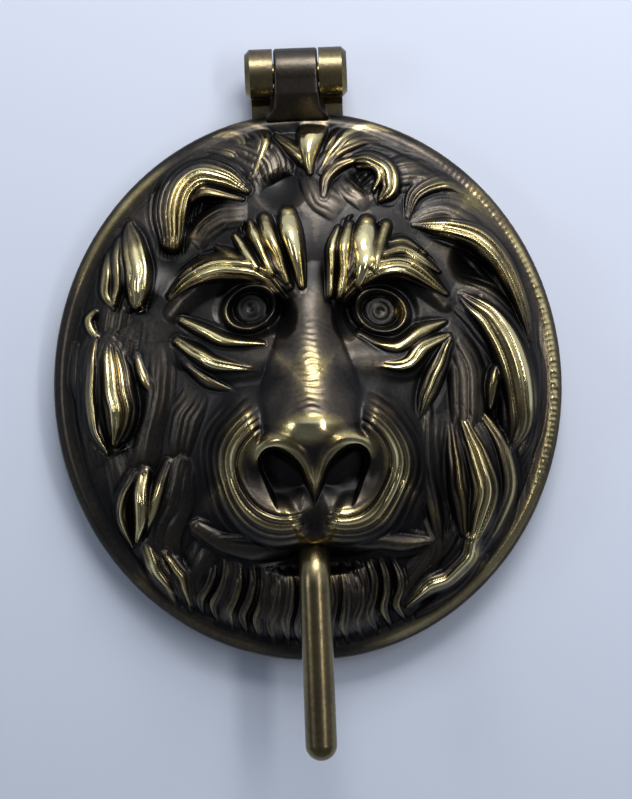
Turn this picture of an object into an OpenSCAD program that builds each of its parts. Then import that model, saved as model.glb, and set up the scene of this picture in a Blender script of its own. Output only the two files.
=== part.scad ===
/* [Back plate] */
// Width of the oval back plate
plate_w = 127; // [120:1:140]
// Height of the oval back plate
plate_h = 137; // [130:1:150]
// Thickness of the back plate
plate_t = 3; // [2.5:0.1:4]
// Bevel round the front edge of the back plate
plate_bevel = 0.8; // [0.4:0.1:1.2]

/* [Door bolts] */
// Distance between the two tapped holes
bolt_spacing = 60; // [56:1:64]
// Height of the middle of the two holes above the plate's centre
bolt_centre_z = 3; // [2:0.5:4]
// Radius of the tapped holes
bolt_hole_r = 2.5; // [2:0.1:3]
// Radius of the bosses round the tapped holes
boss_r = 6; // [5:0.1:6.5]
// Height of the bosses above the plate
boss_h = 7.5; // [6:0.1:8]
// Metal left in front of the blind end of a tapped hole
boss_end = 1.2; // [0.8:0.1:2]

/* [Mask] */
// Edge of the back plate that shows all round the mask
mask_inset = 0.9; // [0.5:0.1:1.5]
// Air between the back plate and the mask's rim
mask_gap = 0.8; // [0.6:0.1:1.2]
// Thickness of the mask's flat border
border_t = 4.6; // [4:0.1:6]
// Width of the flat border at the side, before the mask starts to rise
border_w = 4.5; // [4:0.1:6]
// Rounding of the border's outer edge
border_round = 1.6; // [1:0.1:2.4]
// Rise of the domed field above the border
dome_h = 16; // [14:0.5:19]
// Width of the solid rim round the hollow back
rim_w = 8; // [7:0.1:9]
// Wall between the hollow and the domed field
mask_wall = 6; // [5:0.1:7]
// Cells along each side of the relief's grid
relief_cells = 68; // [40:2:72]

/* [Lion] */
// Height of the face above the domed field
face_h = 4.5; // [3:0.5:6]
// Swelling of the whole muzzle above the face
root_h = 4; // [3:0.5:5]
// Height of the nose above the muzzle
nose_h = 9; // [7:0.5:11]
// Height of the cushions beside the nose above the muzzle
muzzle_h = 9; // [7:0.5:11]
// Depth of the nostrils below the nose
nostril_d = 5; // [4:0.5:6.5]
// Depth of the eye sockets
socket_d = 6.5; // [5:0.5:7.5]
// Distance of the mouth below the mask's centre
mouth_drop = 41; // [39:0.5:42]
// Depth of the open mouth below the face
mouth_d = 4; // [3:0.5:5]
// Height of the low hair, as a share of what its rows give
hair_share = 0.65; // [0.4:0.05:1]
// Height of the eyeballs above their sockets
eye_h = 5.4; // [4:0.1:6]

/* [Hinge] */
// Height of the hinge pin above the top of the back plate
hinge_rise = 9; // [9:0.1:11]
// Distance of the hinge pin in front of the door
hinge_out = 8; // [7.5:0.1:9]
// Radius of the knuckles
knuckle_r = 6.2; // [5.5:0.1:6.8]
// Width of the mask's centre knuckle
centre_w = 10.8; // [9:0.1:13]
// Width of each outer knuckle
ear_w = 6.8; // [6:0.1:8]
// Side play between two knuckles
side_play = 0.35; // [0.3:0.05:0.5]
// Radius of the hinge pin
pin_r = 2.5; // [2:0.1:3]
// Radial clearance of the pin in the outer knuckles
pin_snug = 0.01; // [0.01:0.01:0.03]
// Radial clearance of the pin in the turning knuckle
pin_run = 0.06; // [0.04:0.01:0.1]
// Rounding of the outer knuckles' ends
ear_round = 1.2; // [0.6:0.1:1.6]
// Fillet between the centre knuckle's sides and the mask
lug_fillet = 2.4; // [1:0.1:2.5]
// Length of each outer knuckle's strap below the top of the back plate
strap_foot = 12; // [8:0.5:14]
// Length of the lug's foot below the top of the mask
lug_foot = 4.5; // [4:0.5:8]
// Height above the mask's top at which the lug stands out as far as its knuckle
lug_slope = 3.5; // [2:0.1:4]
// Depth of the lug's fillets below the top of the mask
lug_dip = 0.6; // [0.4:0.1:0.8]

/* [Tongue pull] */
// Radius of the rod
tongue_r = 3.8; // [3.4:0.1:4.2]
// Length of the rod below the bottom of the back plate
tongue_hang = 21.5; // [16:0.5:30]
// Radius of the rod's bend, at its middle
tongue_bend = 7; // [6:0.5:9]
// Air between the rod and the chin
tongue_air = 1.6; // [1:0.1:3]
// Radius of the threaded spigot
spigot_r = 2.5; // [2:0.1:3]
// Depth of the rod's foot in the mouth's floor
rod_sink = 0.6; // [0.3:0.1:1]
// Clearance of the spigot and the rod in the mask
spigot_gap = 0.1; // [0.05:0.01:0.2]
// Thread that stands out behind the nut
spigot_end = 1; // [0.5:0.1:1.5]
// Radius of the washer
washer_r = 5.5; // [5:0.1:6]
// Thickness of the washer
washer_t = 1.2; // [0.8:0.1:1.6]
// Width of the nut across its flats
nut_flats = 8; // [7:0.1:9]
// Height of the nut
nut_h = 4; // [3:0.1:4.5]
// Radius of the pad that the washer sits on
seat_r = 7; // [6.5:0.1:7.5]
// Metal between the mouth's floor and that pad
mouth_wall = 4.6; // [3.5:0.1:5.5]

/* [Hammer and strike] */
// Radius of the hammer stud's head
hammer_r = 4.8; // [4:0.1:5.2]
// Room between the hammer stud's head and the nut above it
hammer_gap = 3.2; // [2.6:0.1:3.6]
// Depth below the mask's rim of the pad that the hammer stud sits on
hammer_seat = 4; // [3.5:0.1:4.5]
// Length of the hammer stud's shank in the mask
hammer_shank = 4; // [3:0.1:4.5]
// Radius of the strike button's head
strike_r = 5.2; // [4.4:0.1:5.6]
// Height of the strike button above the plate
strike_h = 1.6; // [1.2:0.1:2]
// Radius of both shanks
shank_r = 2; // [1.6:0.1:2.4]
// Depth and widening of the strike button's riveted end
rivet_d = 1.2; // [0.8:0.1:1.6]
// Air between hammer and strike when the knocker is down
strike_air = 0.3; // [0.3:0.05:0.5]
// Air round the heads and the pad inside the mask
head_air = 1.2; // [1:0.1:1.6]

/* [Hidden] */
$fn = 96;

eps = 0.01;
patina = [0.31, 0.29, 0.25];
old_brass = [0.55, 0.47, 0.28];
bright_brass = [0.83, 0.71, 0.38];

// Depths are measured forward from the door; forward is -Y
mask_back = plate_t + mask_gap;
mask_a = plate_w / 2 - mask_inset;
mask_b = plate_h / 2 - mask_inset;
hinge_z = plate_h / 2 + hinge_rise;
hinge_len = centre_w + 2 * (side_play + ear_w);
ear_in = centre_w / 2 + side_play;
boss_top = plate_t + boss_h;
hammer_face = plate_t + strike_h + strike_air;
hollow_r = mask_a - rim_w;
hammer_floor = mask_back + hammer_seat;

// The lion is drawn on an oval of these half sizes and stretched to the mask's own
drawn_a = 62.6;
drawn_b = 67.6;
sz = mask_b / drawn_b;
mouth_z = -mouth_drop * sz;
nut_r = nut_flats / 2 / cos(30);
hammer_z = mouth_z - nut_r - hammer_gap - hammer_r;

// Each lock, fold or ridge is a row of stations [x, z, half width, height] in the drawing
lock_big_arch = [[-13, 50, 2, 2], [-19, 53.5, 3.2, 4.5], [-25, 54, 3.6, 5.5], [-30, 50, 3.7, 6],
    [-32.5, 43, 3.6, 5], [-32.5, 36.5, 1.6, 3]];
lock_top_left = [[-27, 58.5, 1.5, 1], [-21, 61.5, 3, 3], [-14, 62, 3.6, 3.5], [-10.5, 57, 3, 3], [-9.5, 46, 2, 1.5]];
lock_arch_inner = [[-28.5, 45.5, 1.3, 1.5], [-24, 48.5, 1.7, 2.5], [-14, 46, 1, 1]];
lock_upper_side = [[-41, 41.5, 1.4, 2], [-42.5, 35, 4.2, 5], [-43, 28, 5.2, 6], [-44.5, 21, 3.2, 3]];
lock_upper_outer = [[-46, 38, 1.2, 1.5], [-48, 32, 2.2, 3], [-49, 24, 2, 2.5]];
lock_side_curl = [[-45, 20.5, 1.3, 2], [-49, 21, 1.6, 2.5], [-53, 19, 1.7, 2.5], [-52, 14, 1.7, 2.5],
    [-48, 12.5, 1.3, 1.5]];
lock_leaf = [[-50, 13.5, 2, 2], [-47.8, 8, 4.6, 5], [-46.8, 0, 5.2, 7], [-46.5, -6, 4.6, 7],
    [-49.5, -14.5, 1.2, 2.5]];
lock_leaf_outer = [[-53.5, 12, 1.6, 1.5], [-53, 4, 2.8, 3.5], [-53, -4, 2.8, 3.5], [-51.5, -12, 1.4, 2]];
lock_leaf_side = [[-41.5, 8.5, 1, 1], [-39.8, 3, 1.5, 2], [-37.5, -1, 1, 1]];
lock_lower_leaf = [[-39.5, -18, 2, 2], [-41.2, -24, 4.6, 5], [-42, -30, 4.8, 6], [-44.5, -38.5, 1.4, 2.5]];
lock_lower_side = [[-35, -21, 1.4, 1.5], [-37.5, -27, 2.2, 3], [-40, -33, 1.6, 2]];
lock_jaw_left = [[-41, -37, 2, 2], [-39, -43, 2.8, 3], [-36, -49, 2.6, 3], [-34.5, -54, 1.4, 1.5]];
lock_jaw_inner = [[-36.5, -40, 1.8, 2], [-33, -46, 2.6, 3], [-31, -54, 1.6, 1.5]];
lock_top_blade = [[3.7, 51.5, 1, 1.5], [3.5, 57, 2.2, 4], [3.2, 61, 3.2, 5], [3.5, 65, 3.2, 3]];
lock_top_fan = [[5.5, 53, 1, 1.5], [8.5, 58.5, 2.2, 3.5], [12.5, 62.5, 2.6, 4], [18, 64, 2.2, 3], [24, 62, 1.2, 1.5]];
lock_top_inner = [[5, 52, 1, 1], [9.5, 57, 2, 3], [16, 60, 1.8, 2.5], [22, 60, 1.2, 1.5]];
lock_top_barb = [[3, 52.5, 1, 1], [0, 57, 1.9, 3], [-5.5, 62, 1.2, 1.5]];
lock_c_curl = [[6, 46.5, 1.3, 1.5], [7, 51.5, 2.1, 3], [11.5, 54.5, 2.4, 4], [17.5, 54, 2.7, 4.5],
    [21.5, 49.5, 2.6, 4.5], [19.5, 45, 1.2, 2]];
lock_far_rim = [[25, 59, 1.4, 1], [32, 57, 2, 2], [39, 52.5, 2.2, 2.5], [45, 46.5, 2.2, 2.5], [49.5, 40.5, 1.4, 1]];
lock_upper_fan = [[26.5, 41.5, 1.4, 1.5], [29, 46.5, 2.5, 3], [35, 49, 3, 3], [42, 46.5, 3, 3], [48.5, 39.5, 1.8, 2]];
lock_big_right = [[29, 38.5, 2, 2], [36.5, 38, 3.2, 5], [43, 35, 3.8, 6.5], [48, 29.5, 3.6, 6.5],
    [51.5, 23, 3, 5], [54, 15, 2.2, 3.5], [55.5, 6, 1.4, 1.5]];
lock_side_right = [[39.5, 19, 2.4, 2.5], [45, 14.5, 3, 5], [48.5, 8.5, 3.2, 6.5], [51, 1, 3.2, 6.5],
    [52, -6, 2.9, 5.5], [51.5, -12, 2.4, 4.5], [49, -18, 1.2, 2]];
lock_side_outer = [[43.5, 20, 1.2, 1.5], [52, 8.5, 1.7, 3], [55.5, -6, 1.5, 2.5], [51.5, -18.5, 1, 1]];
lock_side_inner = [[47, 4, 1.2, 2], [45.5, -1, 1.8, 3], [44.5, -7, 1.2, 1.5]];
lock_bundle_inner = [[34.5, -12, 2, 1.5], [35.5, -20, 2.6, 3.5], [36.5, -29, 2.6, 4], [37, -38, 2, 3.5]];
lock_bundle = [[38, -10.5, 2.4, 2], [41, -18, 3.4, 5], [42.5, -26, 3.8, 6.5], [41.5, -33, 3.4, 6],
    [39, -39.5, 2.6, 5], [37.5, -44, 2.8, 5], [33, -48.5, 2.6, 4.5], [27.5, -50.5, 2.4, 3.5], [22.5, -55, 1.4, 2]];
lock_bundle_outer = [[43, -9, 1.8, 1.5], [47.5, -18, 2.2, 3.5], [48.5, -27, 2.2, 4], [45, -36, 1.8, 3],
    [41, -42, 1.4, 2]];
lock_jaw_right = [[42, -44, 1.6, 2], [37, -51, 2.2, 3], [31, -54.5, 2, 2.5], [25, -57.5, 1.2, 1.5]];
lock_beard_far_left = [[-20, -42.5, 1.5, 2], [-24.5, -45.5, 2.2, 3.5], [-24.5, -51, 2.4, 3.5], [-26.5, -57, 1.3, 2]];
lock_beard_left = [[-16.5, -44.5, 1.4, 2], [-20, -49, 2.2, 3.5], [-20, -54, 2.2, 3], [-21, -59, 1.2, 1.5]];
lock_beard_mid_left = [[-13.5, -45.5, 1.4, 2], [-15.5, -51, 2.2, 3.5], [-15.5, -57, 2, 3], [-16, -62, 1.2, 1.5]];
lock_beard_low_left = [[-9.5, -46.5, 1.3, 2], [-11.5, -52, 2, 3], [-11, -58, 1.9, 3], [-11.5, -63.5, 1.1, 1.5]];
lock_beard_near_left = [[-6, -48, 1.3, 2], [-7, -54, 1.9, 3], [-6.5, -63.5, 1.3, 1.5]];
lock_beard_near_right = [[7, -48, 1.3, 2], [8.5, -54, 1.9, 3], [7, -63.5, 1.2, 1.5]];
lock_beard_right = [[11, -47, 1.4, 2], [13.5, -51.5, 2.2, 4], [13, -57, 2.2, 3.5], [13.5, -61.5, 1.3, 1.5]];
lock_beard_far_right = [[15.5, -46.5, 1.4, 2], [18.5, -50.5, 2.1, 3], [18.5, -56, 2, 3], [17.5, -61, 1.2, 1.5]];

brow_left = [[-32.5, 23, 1, 1], [-27, 27.5, 2.4, 4], [-20.5, 30.5, 3.4, 6], [-14.5, 30.5, 3.6, 7],
    [-9, 28, 3.2, 6.5], [-4.5, 21, 1.8, 3.5]];
brow_right = [[10, 20.5, 1.6, 3], [13.5, 25.5, 3, 6], [19.5, 28.5, 3.4, 7], [26.5, 27.5, 3, 5.5],
    [34.5, 21, 1.1, 1.5]];
tuft_left_in = [[-3.5, 42.5, 2, 2.5], [-2.5, 36, 3, 6.5], [-1, 25.5, 2, 4]];
tuft_left_mid = [[-9.5, 41.5, 1.8, 2], [-8, 36, 2.7, 6], [-4.5, 27, 2, 5]];
tuft_left_out = [[-17, 37.5, 1.3, 1.5], [-13, 36.5, 2.2, 4], [-9.5, 31, 2, 5]];
tuft_left_low = [[-24, 33.5, 1, 1], [-19, 34.5, 1.8, 3], [-13, 32.5, 1.6, 4]];
tuft_right_in = [[7, 38, 1.5, 2.5], [7.5, 31, 2.4, 5.5], [8, 22, 1.8, 3.5]];
tuft_right_mid = [[11.5, 39.5, 1.5, 2], [12, 33, 2.3, 6], [10.5, 24.5, 1.8, 4.5]];
tuft_right_out = [[17, 39.5, 1.8, 2], [16.5, 33.5, 3, 6.5], [13.5, 26, 2.2, 5]];
tuft_right_low = [[22, 38.5, 1.4, 1.5], [22, 34.5, 2.8, 5], [19, 29.5, 2.4, 5.5]];
tuft_right_end = [[29.5, 34, 1.2, 1.5], [27, 31.5, 2.2, 4], [22, 28.5, 2, 5]];
fold_left_upper = [[-30, 17, 1, 1.5], [-24.5, 14, 1.6, 3], [-19, 11.5, 1.6, 3], [-10, 10.5, 1, 1]];
fold_left_lower = [[-31, 12, 1.2, 1.5], [-26.5, 9, 1.9, 3], [-21.5, 6, 1.9, 3], [-12, 4.5, 1.1, 1]];
fold_right_upper = [[13, 12.5, 1, 1], [21, 8.5, 1.6, 2.5], [27.5, 12, 1.9, 3.5], [34, 14, 1.1, 1.5]];
fold_right_lower = [[17.5, 4.5, 1, 1], [24, 4.5, 1.7, 3], [28.5, 8.5, 1.9, 3], [35, 11, 1.1, 1.5]];
cheek_lock_right = [[35, 10, 1.2, 1.5], [31.5, 3, 2.2, 3], [29, -3, 2, 2.5], [26.5, -9, 1, 1]];
cheek_fold_right = [[28.5, -6, 1.2, 1], [28, -20, 1.9, 2], [30, -34, 1.6, 2], [31, -41, 1.1, 1]];

lip_left = [[-28, -33.5, 1.2, 1.5], [-22, -37.5, 2, 2.5], [-14, -40, 2, 2.5], [-6, -40.5, 1.6, 2.5]];
lip_right = [[3, -39, 1.5, 2.5], [10, -39, 2, 2.5], [16, -38, 2, 2.5], [22, -39, 1.8, 2.5], [29, -39, 1.2, 1.5]];

// Eyelids, each an arch over or under its eye
lid_left_upper = [[-6, 17, 0.9, 3], [-8.5, 21, 1.3, 4.5], [-13, 24, 1.5, 5], [-17.5, 22, 1.3, 4.5], [-20, 18, 0.9, 3]];
lid_left_lower = [[-6, 17, 0.9, 3], [-9.5, 15, 1.2, 4], [-13.5, 14.5, 1.3, 4], [-17.5, 16, 1.2, 4], [-20, 18, 0.9, 3]];
lid_right_upper = [[11, 15.5, 0.9, 3], [14, 20, 1.3, 4.5], [18, 22, 1.5, 5], [22.5, 20.5, 1.3, 4.5],
    [25, 16.5, 0.9, 3]];
lid_right_lower = [[11, 15.5, 0.9, 3], [14.5, 13, 1.2, 4], [18.5, 12.5, 1.3, 4], [22.5, 14, 1.2, 4],
    [25, 16.5, 0.9, 3]];
lids = [lid_left_upper, lid_left_lower, lid_right_upper, lid_right_lower];

// The low hair that the locks lie on
hair_top_left = [[-6, 50, 5, 2], [-10, 57, 7, 3], [-20, 61, 5.5, 2.5], [-33, 55, 4, 1.5]];
hair_upper_left = [[-20, 50, 5, 2], [-33, 53, 6, 2.5], [-42, 44, 6, 2], [-49, 32, 5, 1.5]];
hair_temple_left = [[-38, 45, 4, 2], [-44, 33, 7.5, 3.5], [-48, 22, 7, 3], [-52, 8, 6, 2]];
hair_side_left = [[-44, 19, 5, 2], [-49, 8, 8, 3.5], [-50, -4, 8, 3.5], [-50, -18, 4, 2]];
hair_cheek_left = [[-36, 12, 4, 1.5], [-37, 2, 5, 2], [-40, -12, 5, 2], [-43, -22, 4, 1.5]];
hair_lower_left = [[-52, -8, 4, 1.5], [-50, -20, 6, 2.5], [-45, -34, 7, 3], [-36, -48, 5, 2]];
hair_jaw_left = [[-30, -14, 4, 1.5], [-33, -25, 5.5, 2], [-38, -37, 6, 2.5], [-34, -52, 5, 2]];
hair_top_right = [[2, 50, 4, 2], [8, 57, 6, 3], [18, 61, 5.5, 3], [32, 56, 4, 2]];
hair_upper_right = [[14, 46, 4, 2], [26, 52, 6, 2.5], [38, 49, 7, 3], [49, 38, 5, 2]];
hair_temple_right = [[26, 40, 4, 2], [37, 42, 6.5, 3], [49, 33, 7, 3], [56, 16, 4.5, 2], [57, 0, 3, 1.5]];
hair_side_right = [[36, 22, 4, 1.5], [45, 16, 6.5, 3], [52, 4, 7, 3], [52, -12, 6, 2.5], [48, -24, 3, 1.5]];
hair_cheek_right = [[33, 14, 3, 1.5], [38, 4, 5, 2], [39, -8, 5, 2], [36, -18, 3, 1.5]];
hair_lower_right = [[36, -6, 4, 2], [41, -18, 8.5, 3.5], [43, -30, 8.5, 4], [37, -43, 7, 3.5], [25, -53, 4, 2]];
hair_chin_left = [[-19, -40, 5, 2], [-24, -48, 7, 3], [-26, -58, 5, 2]];
hair_chin = [[-12, -44, 6, 2], [-12, -54, 8, 3], [-12, -64, 5, 1.5]];
hair_chin_right = [[12, -44, 6, 2], [14, -54, 8, 3], [14, -64, 5, 1.5]];

// Bone and muscle under the skin: brows, cheeks and jaw
bone_brow_left = [[-4, 24, 3, 2], [-14, 29, 4, 4], [-25, 26, 3.5, 3], [-32, 19, 2, 1]];
bone_brow_right = [[9, 23, 3, 2], [18, 28, 4, 4], [28, 25.5, 3.5, 3], [34, 19, 2, 1]];
bone_cheek_left = [[-8, 6, 3.5, 1.5], [-19, 6.5, 5, 2.5], [-29, 8, 3, 1.5]];
bone_cheek_right = [[12, 6, 3.5, 1.5], [23, 6, 5, 2.5], [32, 9, 3, 1.5]];
bones = [bone_brow_left, bone_brow_right, bone_cheek_left, bone_cheek_right];

ridges = [
    lock_big_arch, lock_top_left, lock_arch_inner, lock_upper_side, lock_upper_outer, lock_side_curl, lock_leaf,
    lock_leaf_outer, lock_leaf_side, lock_lower_leaf, lock_lower_side, lock_jaw_left, lock_jaw_inner,
    lock_top_blade, lock_top_fan, lock_top_inner, lock_top_barb, lock_c_curl, lock_far_rim, lock_upper_fan,
    lock_big_right, lock_side_right, lock_side_outer, lock_side_inner, lock_bundle_inner, lock_bundle,
    lock_bundle_outer, lock_jaw_right, lock_beard_far_left, lock_beard_left, lock_beard_mid_left,
    lock_beard_low_left, lock_beard_near_left, lock_beard_near_right, lock_beard_right, lock_beard_far_right,
    brow_left, brow_right, tuft_left_in, tuft_left_mid, tuft_left_out, tuft_left_low, tuft_right_in,
    tuft_right_mid, tuft_right_out, tuft_right_low, tuft_right_end, fold_left_upper, fold_left_lower,
    fold_right_upper, fold_right_lower, cheek_lock_right, cheek_fold_right, lip_left, lip_right
];
hair = [
    hair_top_left, hair_upper_left, hair_temple_left, hair_side_left, hair_cheek_left, hair_lower_left,
    hair_jaw_left, hair_top_right, hair_upper_right, hair_temple_right, hair_side_right, hair_cheek_right,
    hair_lower_right, hair_chin_left, hair_chin, hair_chin_right
];

// Rounded hollows and domes of the face: [x, z, half width, half height]
left_socket = [-13, 19, 9.5, 8];
right_socket = [18.5, 17, 9.5, 8];
left_corner = [-5.5, 17, 4, 6];
right_corner = [10, 16, 4, 6];
left_eyeball = [-13, 19.5, 5, 4.5];
right_eyeball = [18.5, 17.5, 5, 4.5];
muzzle_root = [0.5, -9, 22, 28];
upper_lip = [0.5, -31, 11, 10.5];
chin = [0.5, -54, 17, 9];
brow_mass = [3, 40, 26, 16];
face_mass = [1, -6, 33, 46];
mouth_half_w = 16;
mouth_half_h = 4;
corner_d = 3;
lip_h = 6;
chin_h = 5;
forehead_h = 3;

// Dark pockets that the locks hang over: [x, z, half width, half height, depth]
pockets = [
    [-24.5, 43.5, 7.5, 7, 4], [42.5, 28.5, 7.5, 7, 3.5], [45.5, -11, 4.5, 8, 3],
    [14.5, 49, 5, 4, 3], [-4.5, 49, 7, 7, 3], [-31, 30, 8, 8, 2.5]
];

// The nose by height z: half width, height as a share of the whole, and bluntness of its section
nose_x = 0.6;
nose_half = [[-26, 2], [-22, 5], [-18, 9], [-14.5, 14.5], [-12, 16], [-9, 16], [-4, 14.5], [4, 10.5],
    [14, 7], [22, 5.5], [30, 4]];
nose_tall = [[-30, 0], [-26, 0.3], [-22, 0.6], [-18, 0.8], [-14.5, 0.92], [-12, 1], [-9, 1], [-4, 0.88], [4, 0.66],
    [14, 0.42], [22, 0.22], [30, 0]];
nose_blunt = [[-14, 0.45], [-9, 0.7], [0, 1.15]];

// The rims over the nostrils, drawn as ridges
wing_left = [[-14, -22, 1.4, 3], [-14, -17.5, 2.4, 6], [-10.5, -13.5, 3, 8], [-6, -13, 3, 8.5],
    [-1.5, -15.5, 2.6, 8], [0.2, -22, 1.6, 6], [0.4, -26, 0.9, 3.5]];
wing_right = [[14.5, -22.5, 1.4, 3], [15, -17.5, 2.4, 6], [11.5, -13.5, 3, 8], [7, -13, 3, 8.5],
    [2.5, -15.5, 2.6, 8], [0.8, -22, 1.6, 6], [0.4, -26, 0.9, 3.5]];

// Each nostril: [x at its middle, lean]; the height and half sizes are common
left_nostril = [-6.8, -0.35];
right_nostril = [8.6, 0.4];
nostril_z = -20;
nostril_half_w = 5.2;
nostril_half_h = 5.6;
nostril_foot = -30;

// Each cushion is a ring round a middle [x, z], taller than wide
left_ring = [-6.5, -19.5];
right_ring = [7.7, -19.5];
ring_r = 12;
ring_in = 7.2;
ring_out = 5.2;
ring_tall = 1.12;
ring_thin = 0.35;
ring_lean = 0.55;
ring_top = 4.5;

// Share of the way to the edge at which the relief has faded out, and the share over which it fades
fade_end = 0.965;
fade_w = 0.05;

// Foot of a ridge beyond its half width, so that it runs out softly
spread = 1.35;

function clamp01(t) = max(0, min(1, t));
// 0 at low, 1 at high and smooth between
function ease(low, high, v) = let (t = clamp01((v - low) / (high - low))) t * t * (3 - 2 * t);
// Height of a half-round ridge over one run between two stations, at the point p
function run_height(p, s, e) =
    let (
        d = [e[0] - s[0], e[1] - s[1]],
        q = [p[0] - s[0], p[1] - s[1]],
        t = clamp01((q * d) / (d * d)),
        u = norm(q - t * d) / ((s[2] + t * (e[2] - s[2])) * spread)
    )
    u < 1 ? (s[3] + t * (e[3] - s[3])) * (1 - u * u) : 0;
function ridge_height(p, row) = max([for (i = [1:len(row) - 1]) run_height(p, row[i - 1], row[i])]);
// Share of a dome's height at p, 1 at its middle and 0 at its edge; falling smoothly, or round as a ball
function dome(p, d) = max(0, 1 - pow((p[0] - d[0]) / d[2], 2) - pow((p[1] - d[1]) / d[3], 2));
function soft(p, d) = pow(dome(p, d), 1.5);
function round_top(p, d) = sqrt(dome(p, d));

// The nose widens like a bell from between the eyes to its ball
function nose_height(p) =
    let (u = (p[0] - nose_x) / lookup(p[1], nose_half))
    nose_h * lookup(p[1], nose_tall) * pow(max(0, 1 - u * u), lookup(p[1], nose_blunt));
// The cushion rises round each nostril, fullest on its outer side
function cushion_height(p) =
    let (
        on_left = p[0] < nose_x,
        middle = on_left ? left_ring : right_ring,
        q = [p[0] - middle[0], p[1] - middle[1]],
        off = norm([q[0], q[1] / ring_tall]) - ring_r,
        outward = on_left ? -q[0] : q[0],
        full = ring_thin + (1 - ring_thin) * ease(-2, 5, outward - ring_lean * q[1])
    )
    muzzle_h * full * exp(-pow(off / (off < 0 ? ring_in : ring_out), 2)) * ease(ring_top, -2, p[1]);
// A nostril is an arch with a sharp edge that runs out below
function nostril_share(p, spot) =
    let (
        rise = p[1] - nostril_z,
        off = (p[0] - spot[0] - spot[1] * rise) / nostril_half_w,
        arch = norm([off, max(rise, 0) / nostril_half_h])
    )
    ease(1.1, 0.75, arch) * ease(nostril_foot, nostril_z, p[1]);

rise_at = 1 - border_w / mask_a;
// Height of the plain domed field above the mask's back, at a share of the way to its edge
function field_height(share) =
    border_t + dome_h * pow(max(0, 1 - pow(share / rise_at, 2)), 0.8);
// Height of the whole relief above the mask's back, at p in the drawing
function relief_height(p) =
    let (
        share = norm([p[0] / drawn_a, p[1] / drawn_b]),
        edge_drop = border_round * pow(clamp01((share - 0.96) / 0.04), 2),
        face = face_h * soft(p, face_mass) + forehead_h * soft(p, brow_mass),
        under = root_h * soft(p, muzzle_root) + max([for (row = bones) ridge_height(p, row)]),
        nose = max(nose_height(p), ridge_height(p, wing_left), ridge_height(p, wing_right)),
        nostrils = nostril_d * max(nostril_share(p, left_nostril), nostril_share(p, right_nostril)),
        lips = max(lip_h * round_top(p, upper_lip), chin_h * round_top(p, chin)),
        eyes = eye_h * max(round_top(p, left_eyeball), round_top(p, right_eyeball)),
        lid = max([for (row = lids) ridge_height(p, row)]),
        front = max(nose, cushion_height(p), lips, eyes, lid),
        low_hair = hair_share * max([for (row = hair) ridge_height(p, row)]),
        mane = max(low_hair, max([for (row = ridges) ridge_height(p, row)])),
        corners = corner_d * max(soft(p, left_corner), soft(p, right_corner)),
        sockets = socket_d * max(soft(p, left_socket), soft(p, right_socket)) + corners,
        mouth = mouth_d * soft(p, [0, -mouth_drop, mouth_half_w, mouth_half_h]),
        pocket = max([for (row = pockets) row[4] * soft(p, row)]) * clamp01(1 - mane / 4),
        fade = clamp01((fade_end - share) / fade_w)
    )
    field_height(share) - edge_drop - sockets - mouth
        + fade * (face + max(under + front - nostrils * ease(2, 6, front), 0.6 * under + mane) - pocket);

// A point of the square -1..1 carried to the round disc, so that cells stay alike from middle to edge
function disc_point(a, b) =
    a == 0 && b == 0 ? [0, 0] :
    abs(a) > abs(b) ? [a * cos(45 * b / a), a * sin(45 * b / a)]
                    : [b * sin(45 * a / b), b * cos(45 * a / b)];

// Depth of the hollow below the mask's back, at a distance from its middle
function hollow_depth(r) = field_height(r / mask_a) - mask_wall;

// The rod stands clear of the chin behind it, and the spigot goes through the mouth's floor
chin_front = max([for (z = [45:3:63]) relief_height([0, -z])]);
rod_out = mask_back + chin_front + tongue_air + tongue_r;
mouth_floor = mask_back + relief_height([0, -mouth_drop]) - rod_sink;
seat_at = mouth_floor - mouth_wall;
// Longer than any cut is deep
reach = plate_w / 2;

// Stretch along the mask's height of all that is drawn round
module oval(half_w, half_h) { scale([1, 1, half_h / half_w]) children(); }
// Turn a shape drawn on XY with its height forward on Z to face -Y
module face_forward(depth) { translate([0, -depth, 0]) rotate([90, 0, 0]) children(); }
module along_x(x) { translate([x, -hinge_out, hinge_z]) rotate([0, 90, 0]) children(); }

// The tapped holes' places on the plate
bolt_places = [for (side = [-1, 1]) bolt_centre_z + side * bolt_spacing / 2];

module bosses(r, top) {
    for (z = bolt_places) translate([0, 0, z]) face_forward(0) cylinder(h = top, r = r);
}

// Outer knuckle: a barrel round the pin, and the strap that carries it up from the plate
module ear() {
    strap_low = plate_h / 2 - strap_foot;
    along_x(ear_in) {
        cylinder(h = ear_w - ear_round, r = knuckle_r);
        translate([0, 0, ear_w - ear_round])
            cylinder(h = ear_round, r1 = knuckle_r, r2 = knuckle_r - ear_round);
    }
    translate([ear_in, 0, 0]) rotate([90, 0, 90]) linear_extrude(ear_w - ear_round)
        polygon([
            [0, strap_low], [-plate_t, strap_low], [-plate_t, hinge_z - knuckle_r - 1],
            [-hinge_out, hinge_z - knuckle_r * 0.9], [-hinge_out, hinge_z],
            [-hinge_out + knuckle_r * 0.5, hinge_z + knuckle_r * 0.86], [0, hinge_z]
        ]);
}

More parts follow.
